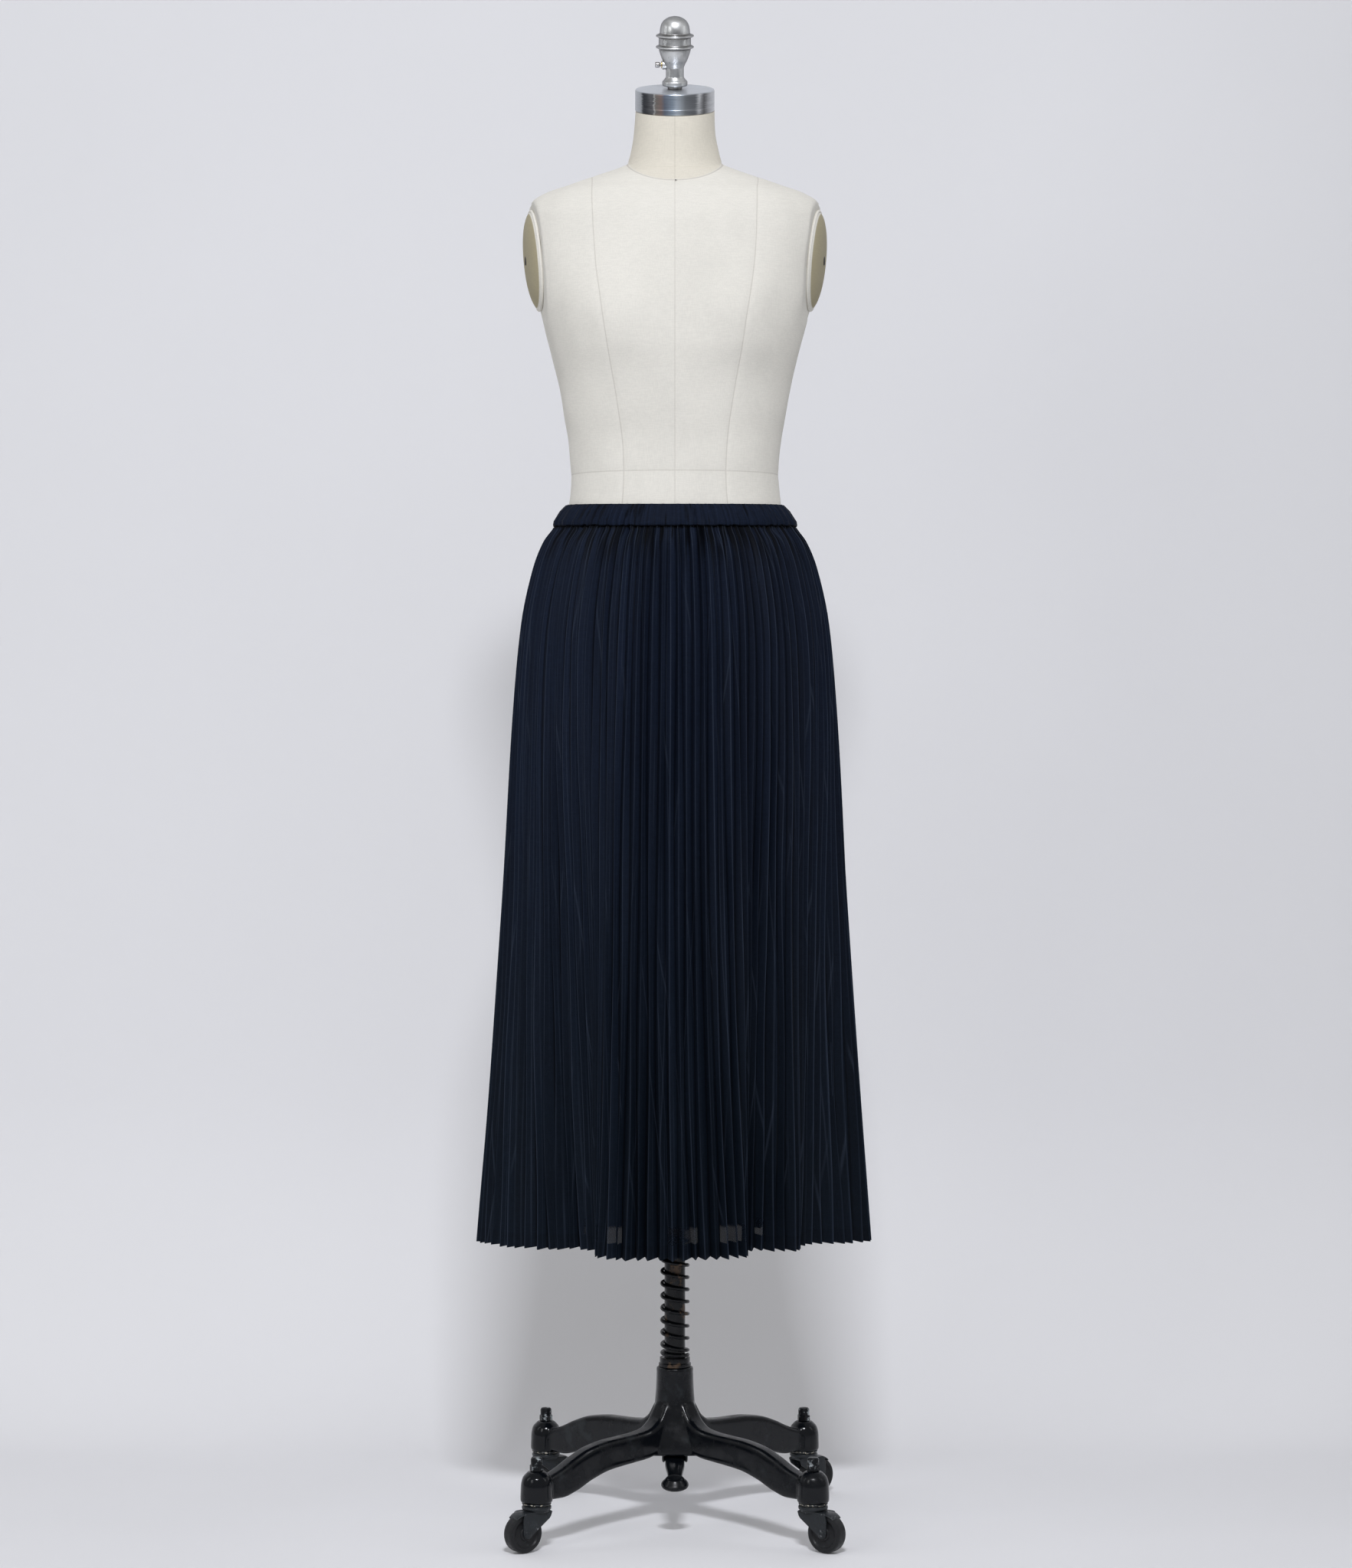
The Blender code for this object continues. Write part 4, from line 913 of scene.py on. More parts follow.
def canvas(name="form_canvas", seams=True):
    """Cream canvas: a plain weave, faint age marks, a greyer neck and fine dark seam lines."""
    settings = bpy.context.scene.form_looks
    made, tree, shader, coords = new_finish(name)
    threads = placed(tree, woven(), {"Vector": coords["Object"], "Threads": 1100.0})
    age = placed(tree, worn(), {"Vector": coords["Object"], "Scale": 9.0, "Amount": 0.25})
    place = add(tree, "ShaderNodeSeparateXYZ", {0: coords["Object"]}).outputs
    weave = span(tree, threads["Shade"], 0.8, 1.15, 0.95, 1.03)
    shade = times(tree, weave, span(tree, age["Soft"], 0, 1, 1.02, 0.96))
    colour = scaled(tree, tuple(settings.canvas), shade)
    height = threads["Height"]
    if seams:
        inside = add(tree, "ShaderNodeAttribute", attribute_name="neckline").outputs["Fac"]
        neck = span(tree, inside, 0.0005, 0.0015)
        colour = tone(tree, neck, colour, scaled(tree, tuple(settings.neck), shade))
        line = 0.0
        for label, darkness in (("princess", 0.25), ("side", 0.25), ("shoulder", 0.25), ("neckline", 0.34)):
            across = add(tree, "ShaderNodeAttribute", attribute_name=label).outputs["Fac"]
            mark = span(tree, maths(tree, "ABSOLUTE", across), 0.00018, 0.00096, darkness, 0.0)
            line = maths(tree, "MAXIMUM", line, mark)
        middle = span(tree, maths(tree, "ABSOLUTE", place[0]), 0.0002, 0.0010, 0.16, 0.0)
        waist = span(tree, away_from(tree, place[2], FORM_WAIST), 0.0002, 0.0010, 0.22, 0.0)
        line = maths(tree, "MAXIMUM", maths(tree, "MAXIMUM", line, middle), waist)
        colour = tone(tree, line, colour, (0.26, 0.21, 0.175))
        height = maths(tree, "SUBTRACT", height, maths(tree, "MULTIPLY", line, 2.5))
    else:
        # arm plates: a darker beige face inside the rim, partly the plate's own colour and partly painted
        # shade of a face turned away from the light
        along = maths(tree, "DIVIDE", place[1], ARM_HALF_WIDTH)
        upward = maths(tree, "DIVIDE", maths(tree, "SUBTRACT", place[2], ARM_HEIGHT), ARM_HALF_HEIGHT)
        square = maths(tree, "MULTIPLY_ADD", along, along, times(tree, upward, upward))
        plate_face_and_shade = scaled(tree, (0.40, 0.355, 0.235), shade)
        colour = tone(tree, span(tree, square, 0.90, 0.95), plate_face_and_shade, colour)
    dress(tree, shader, {
        "Base Color": colour, "Roughness": span(tree, threads["Height"], 0.3, 0.7, 0.82, 0.92),
        "Specular IOR Level": 0.22, "Sheen Weight": 0.05, "Normal": bump(tree, height, 0.28, 0.0003),
    })
    return made


def neck_axis(tree, coords):
    """Object coordinates in the neck's own leaning frame, from its top."""
    low = stretch(tree, coords["Object"], place=(0, 0, -NECK_TOP))
    lean = {"Vector": low, "Rotation": (-np.radians(NECK_TILT), 0, 0)}
    return add(tree, "ShaderNodeMapping", lean).outputs[0]


def turned_steel():
    """A bright turned cap: painted reflections of the room as bands down its side, fine streaks round it,
    small specks.
    """
    settings = bpy.context.scene.form_looks
    made, tree, shader, coords = new_finish("turned_steel")
    local = neck_axis(tree, coords)
    streaks = grain(tree, stretch(tree, local, (40, 40, 900)), 1.0, 4.0, 0.65)
    specks = placed(tree, worn(), {"Vector": coords["Object"], "Scale": 320.0, "Amount": 0.10})
    ragged = maths(tree, "SUBTRACT", streaks, 0.5)
    across = maths(tree, "MULTIPLY_ADD", ragged, 0.006, part(tree, coords["Object"], 0))
    # painted reflections: the bands' colours laid across the cap's side
    band = add(tree, "ShaderNodeValToRGB", {0: span(tree, across, -CAP_RADIUS, CAP_RADIUS)})
    ramp = band.color_ramp
    for place, colour in CAP_REFLECTION_BANDS[1:-1]:
        ramp.elements.new(place).color = (*colour, 1)
    for end in (0, -1):
        ramp.elements[end].color = (*CAP_REFLECTION_BANDS[end][1], 1)
    top = span(tree, part(tree, local, 2), CAP_HEIGHT - 0.0008, CAP_HEIGHT - 0.0001)
    colour = tone(tree, top, band.outputs[0], tuple(settings.steel))
    colour = tone(tree, maths(tree, "MULTIPLY", specks["Mask"], 0.5), colour, (0.12, 0.11, 0.11))
    colour = scaled(tree, colour, span(tree, streaks, 0.25, 0.8, 0.86, 1.10))
    dress(tree, shader, {
        "Base Color": colour, "Metallic": 0.7, "Roughness": span(tree, streaks, 0.25, 0.75, 0.28, 0.38),
    })
    return made


def cast_aluminium():
    """Satin cast metal: shallow pits, dull patches at random, painted shade in the grooves beside its ridges,
    a painted dark rim at its edges, and a rough grain.
    """
    settings = bpy.context.scene.form_looks
    made, tree, shader, coords = new_finish("cast_aluminium")
    pits = placed(tree, worn(), {"Vector": coords["Object"], "Scale": 240.0, "Amount": 0.36})
    sand = grain(tree, coords["Object"], 900.0, 3.0)
    dull = grain(tree, coords["Object"], 60.0, 4.0)
    pitted = maths(tree, "MULTIPLY", pits["Mask"], 0.55)
    colour = tone(tree, pitted, tuple(settings.aluminium), (0.16, 0.155, 0.15))
    colour = scaled(tree, colour, span(tree, dull, 0.3, 0.7, 0.78, 1.1))
    rise = part(tree, neck_axis(tree, coords), 2)
    # painted shade in the grooves beside the ridges and at the finial's foot
    for place, wide, share in FINIAL_GROOVE_SHADE:
        away = away_from(tree, rise, place + CAP_HEIGHT + 2 * GAP)
        colour = tone(tree, span(tree, away, 0.0, wide, share, 0.0), colour, (0.09, 0.075, 0.06))
    # painted reflection: the colour turns dark where the surface turns from view, standing in for dark
    # reflections at the finial's edges
    turn = tree.nodes.new("ShaderNodeLayerWeight").outputs["Facing"]
    colour = tone(tree, span(tree, turn, 0.30, 0.85, 0.0, 0.86), colour, (0.10, 0.10, 0.10))
    height = maths(tree, "SUBTRACT", maths(tree, "MULTIPLY", sand, 0.6), pits["Mask"])
    dress(tree, shader, {
        "Base Color": colour, "Metallic": 0.92, "Roughness": span(tree, dull, 0.3, 0.7, 0.32, 0.46),
        "Normal": bump(tree, height, 0.35, 0.00025),
    })
    return made


def black_metal(
    name, gloss, wear, dust, rust, metallic=0.0, bright=(0.30, 0.31, 0.33), base=None, flecked=None,
):
    """Black enamel or steel: gloss black, dull dusty blotches, rust brown and bright worn spots.

    flecked gives two heights between which pale flecks of old grease and bare metal lie.
    """
    settings = bpy.context.scene.stand_looks
    made, tree, shader, coords = new_finish(name)
    blotches = (((0, 0, 0), 34.0, dust), ((3, 5, 7), 60.0, rust), ((9, 2, 4), 140.0, wear))
    dusty, rusty, chips = (
        placed(tree, worn(), {
            "Vector": stretch(tree, coords["Object"], place=shift), "Scale": scale, "Amount": amount,
        })
        for shift, scale, amount in blotches
    )
    fine = grain(tree, coords["Object"], 700.0, 2.0)
    dusted = maths(tree, "MULTIPLY", dusty["Mask"], 0.12)
    colour = tone(tree, dusted, base or tuple(settings.enamel), tuple(settings.dust))
    colour = tone(tree, maths(tree, "MULTIPLY", rusty["Mask"], 0.75), colour, tuple(settings.rust))
    colour = tone(tree, maths(tree, "MULTIPLY", chips["Mask"], 0.8), colour, bright)
    if flecked:
        height, (low, high) = part(tree, coords["Object"], 2), flecked
        over = span(tree, height, low, low + 0.0004)
        under = span(tree, height, high - 0.0004, high, 1.0, 0.0)
        dots = grain(tree, stretch(tree, coords["Object"], (1, 1, 0.8)), 420.0, 2.0)
        dots = times(tree, times(tree, over, under), span(tree, dots, 0.53, 0.60))
        colour = tone(tree, dots, colour, (0.42, 0.39, 0.32))
    rough = span(tree, dusty["Soft"], 0.1, 0.9, gloss, gloss + 0.22)
    bared = maths(tree, "MAXIMUM", rusty["Mask"], chips["Mask"])
    rough = maths(tree, "MULTIPLY_ADD", bared, 0.25, rough)
    chipped = maths(tree, "MULTIPLY", chips["Mask"], 0.8)
    height = maths(tree, "SUBTRACT", maths(tree, "MULTIPLY", fine, 0.35), chipped)
    dress(tree, shader, {
        "Base Color": colour, "Metallic": metallic, "Roughness": rough, "IOR": 1.35,
        "Normal": bump(tree, height, 0.30, 0.0003),
    })
    return made


def bare_metal(name, colour, dark, roughness):
    """Small bright fittings: brass or steel with dull spots."""
    made, tree, shader, coords = new_finish(name)
    spots = placed(tree, worn(), {"Vector": coords["Object"], "Scale": 420.0, "Amount": 0.35})
    colour = tone(tree, maths(tree, "MULTIPLY", spots["Mask"], 0.7), colour, dark)
    dress(tree, shader, {
        "Base Color": colour, "Metallic": 1.0,
        "Roughness": span(tree, spots["Soft"], 0.1, 0.9, roughness, roughness + 0.2),
        "Normal": bump(tree, spots["Soft"], 0.2, 0.0002),
    })
    return made


def wheel_rubber():
    """Hard black rubber: matt tread with dust, scuffs round the rolling edge."""
    settings = bpy.context.scene.stand_looks
    made, tree, shader, coords = new_finish("wheel_rubber")
    scuffs = placed(tree, worn(), {"Vector": coords["Object"], "Scale": 180.0, "Amount": 0.35})
    fine = grain(tree, coords["Object"], 1200.0, 2.0)
    scuffed = maths(tree, "MULTIPLY", scuffs["Mask"], 0.30)
    colour = tone(tree, scuffed, (0.014, 0.0145, 0.016), tuple(settings.dust))
    dress(tree, shader, {
        "Base Color": colour, "IOR": 1.3, "Roughness": span(tree, scuffs["Soft"], 0.1, 0.9, 0.34, 0.62),
        "Normal": bump(tree, fine, 0.2, 0.0002),
    })
    return made


# Skirt


def fold_reach(degrees):
    """How far the cloth reaches at the hem: the fold table with its corners eased."""
    fine = np.arange(-45.0, 405.0, 0.5)
    angle, reach = np.array(HEM_FOLDS, float).T
    window = np.hanning(int(4 * FOLD_SOFTENING) + 1)
    eased = np.convolve(np.interp(np.mod(fine, 360), angle, reach), window / window.sum(), mode="same")
    return np.interp(degrees, fine, eased)


def waist_dip(y, z):
    """How far the cloth hangs below its level: most at the front of the waist, none at the hip."""
    return WAIST_DIP * np.clip(-y / 0.105, 0, 1) ** 1.5 * np.clip((z - 0.98) / (SEAM_HEIGHT - 0.98), 0, 1)


def panel_grids(first_angle, seed):
    """Outer and inner grids of one pleated panel, with its pleat and height coordinates.

    A point is the level's outline at its share of the run, drawn towards the axis by the pleat:
    nothing at a crest, the level's depth at a trough, with both wandering unevenly. Dents of the
    gathers are taken off below the seam, as bells across times x * exp(1 - x) down. The inner grid
    lies one wall further in, divided by the sine of the flank's slant, so the wall keeps its
    thickness and can't cross itself. Each trough and pleat ends at its own height at the hem.
    """
    settings = bpy.context.scene.skirt_cloth
    hem_rows = (0, 0.0006, 0.0045, 0.010, HEM_TURN_UP - 0.0012, HEM_TURN_UP, HEM_TURN_UP + 0.0012, 0.024)
    heights = np.r_[
        HEM_HEIGHT + np.array(hem_rows),
        np.linspace(0.343, 1.030, 58), np.linspace(1.036, SEAM_HEIGHT, 28),
        SEAM_HEIGHT + np.array([0.0008, 0.0022]),
    ]
    z = heights[:, None]
    table = np.array(SKIRT_LEVELS)
    half_width, front, back, depth, fold = (through(z, table[:, 0], table[:, k]) for k in range(1, 6))
    angles = np.linspace(first_angle, first_angle + np.pi, 1500)[None, :]
    x, y = outline(angles, half_width, front, back)
    reach = 1 - fold * (1 - fold_reach(np.degrees(angles)))
    x, y = x * reach, y * reach
    step_x, step_y = (np.diff(line, axis=1, prepend=line[:, :1]) for line in (x, y))
    run = np.cumsum(np.hypot(step_x, step_y), axis=1)
    length = run[:, -1:]

    number = np.repeat(np.arange(PLEATS), len(PLEAT_PHASES))
    phase = np.tile(PLEAT_PHASES, PLEATS)
    number, phase = np.r_[number, PLEATS - 1], np.r_[phase, 1.0]
    rising = phase < PLEAT_SKEW
    slope = np.where(rising, phase / PLEAT_SKEW, (1 - phase) / (1 - PLEAT_SKEW))
    trough = np.where(rising, number, number + 1).astype(float)
    crest = number.astype(float)
    inside = np.clip(np.minimum(number + phase, PLEATS - number - phase) / 1.5, 0, 1)
    up = (z - HEM_HEIGHT) / 0.79
    trough_drift = unevenness(seed + 1, trough * 0.9, up * 1.6)
    crest_drift = unevenness(seed + 2, crest * 1.3 + 40, up * 2.2)
    wander = settings.wander * inside * ((1 - slope) * trough_drift + slope * crest_drift)
    rounded_slope = 0.62 * slope + 0.38 * np.sin(slope * np.pi / 2) ** 2
    low = settings.depth * (0.90 + 0.16 * inside * unevenness(seed + 3, trough * 1.7, up * 2.5))
    high = settings.depth * np.clip(0.06 + 0.13 * inside * unevenness(seed + 4, crest * 2.1, up * 3.0), 0, 1)
    inward = depth * ((1 - rounded_slope) * low + rounded_slope * high)

    share = (number + phase + wander) / PLEATS
    edge = SEAM_GAP / 2 / length
    share = np.clip(share, edge, 1 - edge)
    at = np.stack([
        [np.interp(s * l, r, values) for s, l, r, values in zip(share, length[:, 0], run, line)]
        for line in (x, y)
    ], axis=2)

    draws = np.random.default_rng(seed)
    middles = (np.arange(WAIST_DENTS) + draws.uniform(0.1, 0.9, WAIST_DENTS)) / WAIST_DENTS
    widths = draws.uniform(0.0016, 0.0036, WAIST_DENTS)
    drops = draws.uniform(0.0035, 0.0090, WAIST_DENTS)
    pits = draws.uniform(0.0008, 0.0038, WAIST_DENTS)
    across = np.exp(-(((share[:, :, None] - middles) * length[:, :, None] / widths) ** 2))
    below = np.maximum(SEAM_HEIGHT - z[:, :, None], 0) / drops
    inward = inward + (pits * across * below * np.exp(1 - below)).sum(axis=2) * np.minimum(inside, 1)
    inward = inward + TUCK_SLOPE * np.maximum(z - SEAM_HEIGHT, 0)

    towards = -at / np.linalg.norm(at, axis=2)[:, :, None]
    outer = at + towards * inward[:, :, None]
    steps, middle = np.diff(outer, axis=1), (outer[:, 1:] + outer[:, :-1]) / 2
    cross = np.abs(steps[..., 0] * middle[..., 1] - steps[..., 1] * middle[..., 0])
    sine = cross / np.maximum(np.linalg.norm(steps, axis=2) * np.linalg.norm(middle, axis=2), 1e-12)
    wall = CLOTH_WALL / np.clip(sine, 0.28, 1)
    wall = np.maximum(np.hstack([wall[:, :1], wall]), np.hstack([wall, wall[:, -1:]]))
    inner = outer + towards * wall[:, :, None]
    trough_rise = 0.75 + 0.5 * draws.random(PLEATS + 1)[trough.astype(int)]
    ragged = (1 - slope) * trough_rise + 0.45 * draws.random(PLEATS)[number]
    level = z + HEM_TEETH * np.clip(1 - (z - HEM_HEIGHT) / 0.05, 0, 1) * ragged * inside
    level = level - waist_dip(outer[:, :, 1], z)
    return np.dstack([outer, level]), np.dstack([inner, level]), number + phase, heights - HEM_HEIGHT


def casing_grids():
    """Outer and inner grids of the waistband: the section table carried round the waist.

    Each point is drawn in by a pucker, a rounded comb whose teeth wander, times the section's
    share, with finer creases between. The bottom edge is scalloped and the top edge frilled by the
    same comb. The inner grid lies one wall along the surface's normal.
    """
    columns, rows = 640, 44
    table = np.array(BAND_SECTION)
    section = along_profile(table, rows)
    angles = np.arange(columns) * TAU / columns
    height, half_width, front, back, share = (section[:, k:k + 1] for k in range(5))
    x, y = outline(angles[None, :], half_width, front, back)
    turn = angles[None, :] / TAU
    circle = np.sin(TAU * turn), np.cos(TAU * turn)
    up = (height - 1.1020) / 0.025
    wander = 0.45 * unevenness(61, *(2.2 * c for c in circle), up * 0.35)
    comb = 0.5 - 0.5 * np.cos(TAU * (GATHERS * turn + wander))
    strength = 0.0017 + 0.0010 * unevenness(62, *(5 * c for c in circle))
    fine = 0.00035 * unevenness(63, *(34 * c for c in circle), up * 0.6)
    pull = share * (np.clip(strength, 0.0004, 0.0030) * comb**1.4 + fine + 0.0002)
    radius = np.hypot(x, y)
    x, y = x * (1 - pull / radius), y * (1 - pull / radius)
    scallop = np.clip(1 - up / 0.35, 0, 1) * (share > 0.3)
    frill = np.clip((up - 0.72) / 0.28, 0, 1) * (share > 0.2)
    z = height + 0.0009 * scallop * comb * (1 + 0.6 * unevenness(64, *(9 * c for c in circle)))
    z = z - 0.0011 * frill * comb
    outer = np.stack([x, y, z - waist_dip(y, SEAM_HEIGHT)], axis=2)
    across = np.roll(outer, -1, 1) - np.roll(outer, 1, 1)
    along = np.gradient(outer, axis=0)
    normal = np.cross(along, across)
    normal /= np.linalg.norm(normal, axis=2)[:, :, None]
    middle = outer.mean(axis=0, keepdims=True)
    inwards = np.sign(((middle - outer) * normal).sum(axis=2).mean())
    inner = outer + inwards * normal * CLOTH_WALL
    run = np.r_[0, np.cumsum(np.linalg.norm(np.diff(section[:, :2], axis=0), axis=1))]
    return outer, inner, np.linspace(0, 1, columns + 1), run


# Dress form


def arm_side(along, height):
    """How far out the flat side under the arm plate is."""
    return ARM_X + ARM_TWIST * along + ARM_SLOPE * (height - ARM_HEIGHT)


def neck_seam(x, y, z):
    """How far inside the neck's cover a point is: half an ellipse hung below the neck's corner."""
    drop = np.where(y < 0, NECKLINE_DROP, NECKLINE_RISE)
    below = np.maximum(NECKLINE_HEIGHT - z, 0) / drop
    return np.maximum(0.03 * (1 - np.hypot(x / NECKLINE_HALF, below)), z - NECKLINE_HEIGHT)


def body_grid(rows=250, columns=300):
    """The padded body: superellipse levels, the bust's rise, eased flat arm sides, a leaning neck.

    The levels are spaced by length along the side's profile, closer at the neck's corner. Seams
    are soft troughs 0.7 mm deep, bells of the distance from their line. Returns the grid and the
    signed distance of every point from each seam.
    """
    table = np.array(FORM_LEVELS)
    fine = np.linspace(table[0, 0], table[-1, 0], 3000)
    wide = through(fine, table[:, 0], table[:, 1])
    closer = 1 + 5 * np.exp(-(((fine[1:] - NECK_CORNER) / 0.014) ** 2))
    run = np.r_[0, np.cumsum(np.hypot(np.diff(fine), np.diff(wide)) * closer)]
    z = np.interp(np.linspace(0, run[-1], rows), run, fine)[:, None]
    half_width, front, back, squareness, tilt = (through(z, table[:, 0], table[:, k]) for k in range(1, 6))
    angles = (np.arange(columns) + 0.5)[None, :] * TAU / columns
    x, y = outline(angles, half_width, front, back, squareness)
    for side in (-1, 1):
        away = ((x - side * BUST_SPREAD) ** 2 + (z - BUST_HEIGHT) ** 2) / BUST_RADIUS**2
        y = y - np.where(y < 0, BUST_RISE * np.exp(-away), 0.0)
    near = np.clip((1.35 * ARM_HALF_HEIGHT - np.abs(z - ARM_HEIGHT)) / 0.006, 0, 1)
    over = np.maximum(np.abs(x) - arm_side(y, z), 0.0)
    x = np.sign(x) * (np.abs(x) - near * over)
    bump_up = 0.0004 * unevenness(71, x * 22, y * 22, z * 22, waves=14)
    seams = {
        "princess": np.abs(x) - through(z, *np.array(PRINCESS_SEAM).T),
        "side": np.where(np.abs(z - ARM_HEIGHT) > ARM_HALF_HEIGHT, y - 0.004, 0.05),
        "shoulder": np.where(z > 1.46, y - 0.010, 0.05),
        "neckline": neck_seam(x, y, z + y * np.tan(np.radians(tilt))),
    }
    lines = [*seams.values(), x, z - FORM_WAIST]
    trough = sum(np.exp(-((line / 0.0026) ** 2)) for line in lines)
    inward = 0.0007 * np.minimum(trough, 1.2) - bump_up
    radius = np.hypot(x, y)
    x, y = x * (1 - inward / radius), y * (1 - inward / radius)
    z_all = z + y * np.tan(np.radians(tilt))
    grid = np.stack([x, y, z_all + 0 * x], axis=2)
    seams["neckline"] = neck_seam(x, y, z_all)
    ends = []
    for row, shares in ((0, (0.30, 0.90, 0.985)), (-1, (0.95, 0.40))):
        middle = grid[row].mean(0)
        for share in shares:
            ends.append(middle + (grid[row] - middle) * share)
    ends[2][:, 2] += 0.0006
    grid = np.concatenate([np.stack(ends[:3]), grid[:-1], grid[-1:], np.stack(ends[3:])])
    low, high = (np.full((count, columns), 0.05) for count in (3, 2))
    return grid, {label: np.concatenate([low, away + 0 * angles, high]) for label, away in seams.items()}


def arm_plate_patches(side):
    """A dome on the flat side, its rise a power of the sine of a quarter turn, and its corded rim."""
    angles = np.arange(96) * TAU / 96
    t = np.linspace(0, 1, 26)[:, None]
    share = np.r_[[[0.97], [0.985]], 0.985 * np.cos(t[1:] * np.pi / 2) ** 0.72 + 0.012]
    rise = np.r_[[[0.0], [0.16]], 0.16 + 0.84 * np.sin(t[1:] * np.pi / 2) ** 1.3]
    up, along = share * ARM_HALF_HEIGHT * np.sin(angles), share * ARM_HALF_WIDTH * np.cos(angles)
    height = ARM_HEIGHT + up
    out = arm_side(along, height) + GAP + rise * ARM_DOME
    dome = skin(np.stack([side * out, along, height], axis=2))
    cord_up, cord_along = 1.012 * ARM_HALF_HEIGHT * np.sin(angles), 1.012 * ARM_HALF_WIDTH * np.cos(angles)
    cord_height = ARM_HEIGHT + cord_up
    cord_out = arm_side(cord_along, cord_height) + 0.0016
    path = np.stack([side * cord_out, cord_along, cord_height], 1)
    cord = tube(path, 0.0017, 10, (side, 0.0, 0.0), closed=True)
    return dome, cord


def eyelet_patches(side):
    """A wire carried round a circle in the middle of an arm plate, and the dark disc inside it."""
    out = arm_side(0, ARM_HEIGHT) + GAP + ARM_DOME
    spin = np.arange(32) * TAU / 32
    along, height = EYELET_RADIUS * np.cos(spin), ARM_HEIGHT + EYELET_RADIUS * np.sin(spin)
    path = np.stack([np.full(32, side * (out - 0.0002)), along, height], 1)
    hole = lathe(((0.0008, 0), (0.0036, 0), (0.0036, 0.0006), (0.0008, 0.0006)), 24)
    spot = np.array((side * (out - 0.0004), 0, ARM_HEIGHT))
    hole = moved(hole, lambda p: p[:, [2, 0, 1]] * (side, 1, 1) + spot)
    return [tube(path, 0.0009, 8, (1.0, 0.0, 0.0), closed=True), hole]


def pin_patch():
    """A round-headed pin at the neck's seam: a lathed profile laid over along -Y, leaning up."""
    x, y, z = PIN_PLACE
    pin = lathe(PIN_PROFILE, 16)
    return moved(pin, lambda p: np.stack([p[:, 0] + x, y - 0.9 * p[:, 2], z + p[:, 1] + 0.3 * p[:, 2]], 1))


def on_neck(points, spot=(0, 0, 0)):
    """Points of the neck's own upright frame, leaned forward onto the neck."""
    made = turned_about(np.asarray(points) + spot, 0, np.radians(NECK_TILT))
    made[:, 2] += NECK_TOP
    return made


def cap_patch():
    """The cap: a lathed drum with eased rims and a fine groove near its foot."""
    low, high, r = GAP, GAP + CAP_HEIGHT, CAP_RADIUS
    groove = low + 0.0060
    profile = (
        (0.0020, low), (r - 0.0006, low), (r, low + 0.0008), (r, groove - 0.0005), (r - 0.0003, groove),
        (r, groove + 0.0005), (r, high - 0.0016), (r - 0.0005, high - 0.0005), (r - 0.0016, high),
        (0.0300, high), (0.0020, high),
    )
    return lathe(rounded(profile, 0.0003, 3), 128)


def sideways(points):
    """A lathe's points laid with their axis along -X."""
    return np.stack([-points[:, 2], points[:, 1], points[:, 0]], axis=1)


# Stand


def flange_patch():
    """The round plate under the form: its profile with eased rims, carried round the post's axis."""
    top = FORM_BOTTOM - GAP
    low = top - FLANGE_HEIGHT
    r = FLANGE_RADIUS
    profile = (
        (0.0020, low), (r - 0.0010, low), (r, low + 0.001), (r, top - 0.001), (r - 0.001, top), (0.0020, top),
    )
    return lathe(rounded(profile, 0.0004, 2), 64)


def post_patch():
    """The post: a plain tube with an eased foot, up to the flange."""
    top, r = FORM_BOTTOM - FLANGE_HEIGHT - 2 * GAP, POST_RADIUS
    foot = ((0.0020, POST_BOTTOM), (r - 0.0012, POST_BOTTOM), (r, POST_BOTTOM + 0.0012))
    return lathe((*foot, (r, 0.4), (r, 0.6), (r, top), (0.0020, top)), 56)


def collar_patch(low, steps):
    """A collar round the post: stepped outside, plain in its bore, carried round as a ring."""
    bore = POST_RADIUS + GAP
    outside = [(COLLAR_RADIUS + out, low + up) for out, up in steps]
    profile = [(bore, low), *outside, (bore, low + steps[-1][1])]
    return lathe(rounded(profile, 0.0005, 3, closed=True), 56, ring=True)


def leg_patch(side_x, side_y):
    """An arched leg: a squarish superellipse carried outwards, with a soft ridge along its top."""
    table = np.array(LEG_STATIONS)
    reach = np.linspace(table[0, 0], table[-1, 0], 70)[:, None]
    top, bottom, half = (through(reach, table[:, 0], table[:, k]) for k in (1, 2, 3))
    angles = np.arange(28) * TAU / 28
    across, rise = np.cos(angles), np.sin(angles)
    power = 2 / 6.0
    wide = half * np.sign(across) * np.abs(across) ** power
    high = (top + bottom) / 2 + (top - bottom) / 2 * np.sign(rise) * np.abs(rise) ** power
    high = high + 0.0006 * np.clip(rise, 0, 1) ** 6
    outward, beside = np.array([side_x, side_y]) / np.sqrt(2), np.array([-side_y, side_x]) / np.sqrt(2)
    x = outward[0] * reach + beside[0] * wide
    y = outward[1] * reach + beside[1] * wide
    return skin(np.stack([x, y, high], axis=2))


def bell_patch(side_x, side_y):
    """The bell at a leg's end: its profile carried round a castor's axis."""
    shift = (side_x * CASTOR_SPREAD, side_y * CASTOR_SPREAD, 0)
    return moved(lathe(along_profile(BELL_PROFILE, 40), 48), lambda p: p + shift)


def lug_patch(side):
    """One ear under the hub that holds an end of the pedal's pin."""
    _, y, z = PEDAL_AXIS
    ring = [(y - 0.0060, 0.0860), (y - 0.0056, z + 0.0005), (y - 0.0036, z - 0.0038), (y, z - 0.0048),
            (y + 0.0036, z - 0.0038), (y + 0.0056, z + 0.0005), (y + 0.0060, 0.0860)]
    low, high = sorted((side * 0.0108, side * 0.0142))
    return slab(rounded(ring, 0.002, 3, closed=True), low, high, 0.0006, lambda p: p[:, [2, 0, 1]])


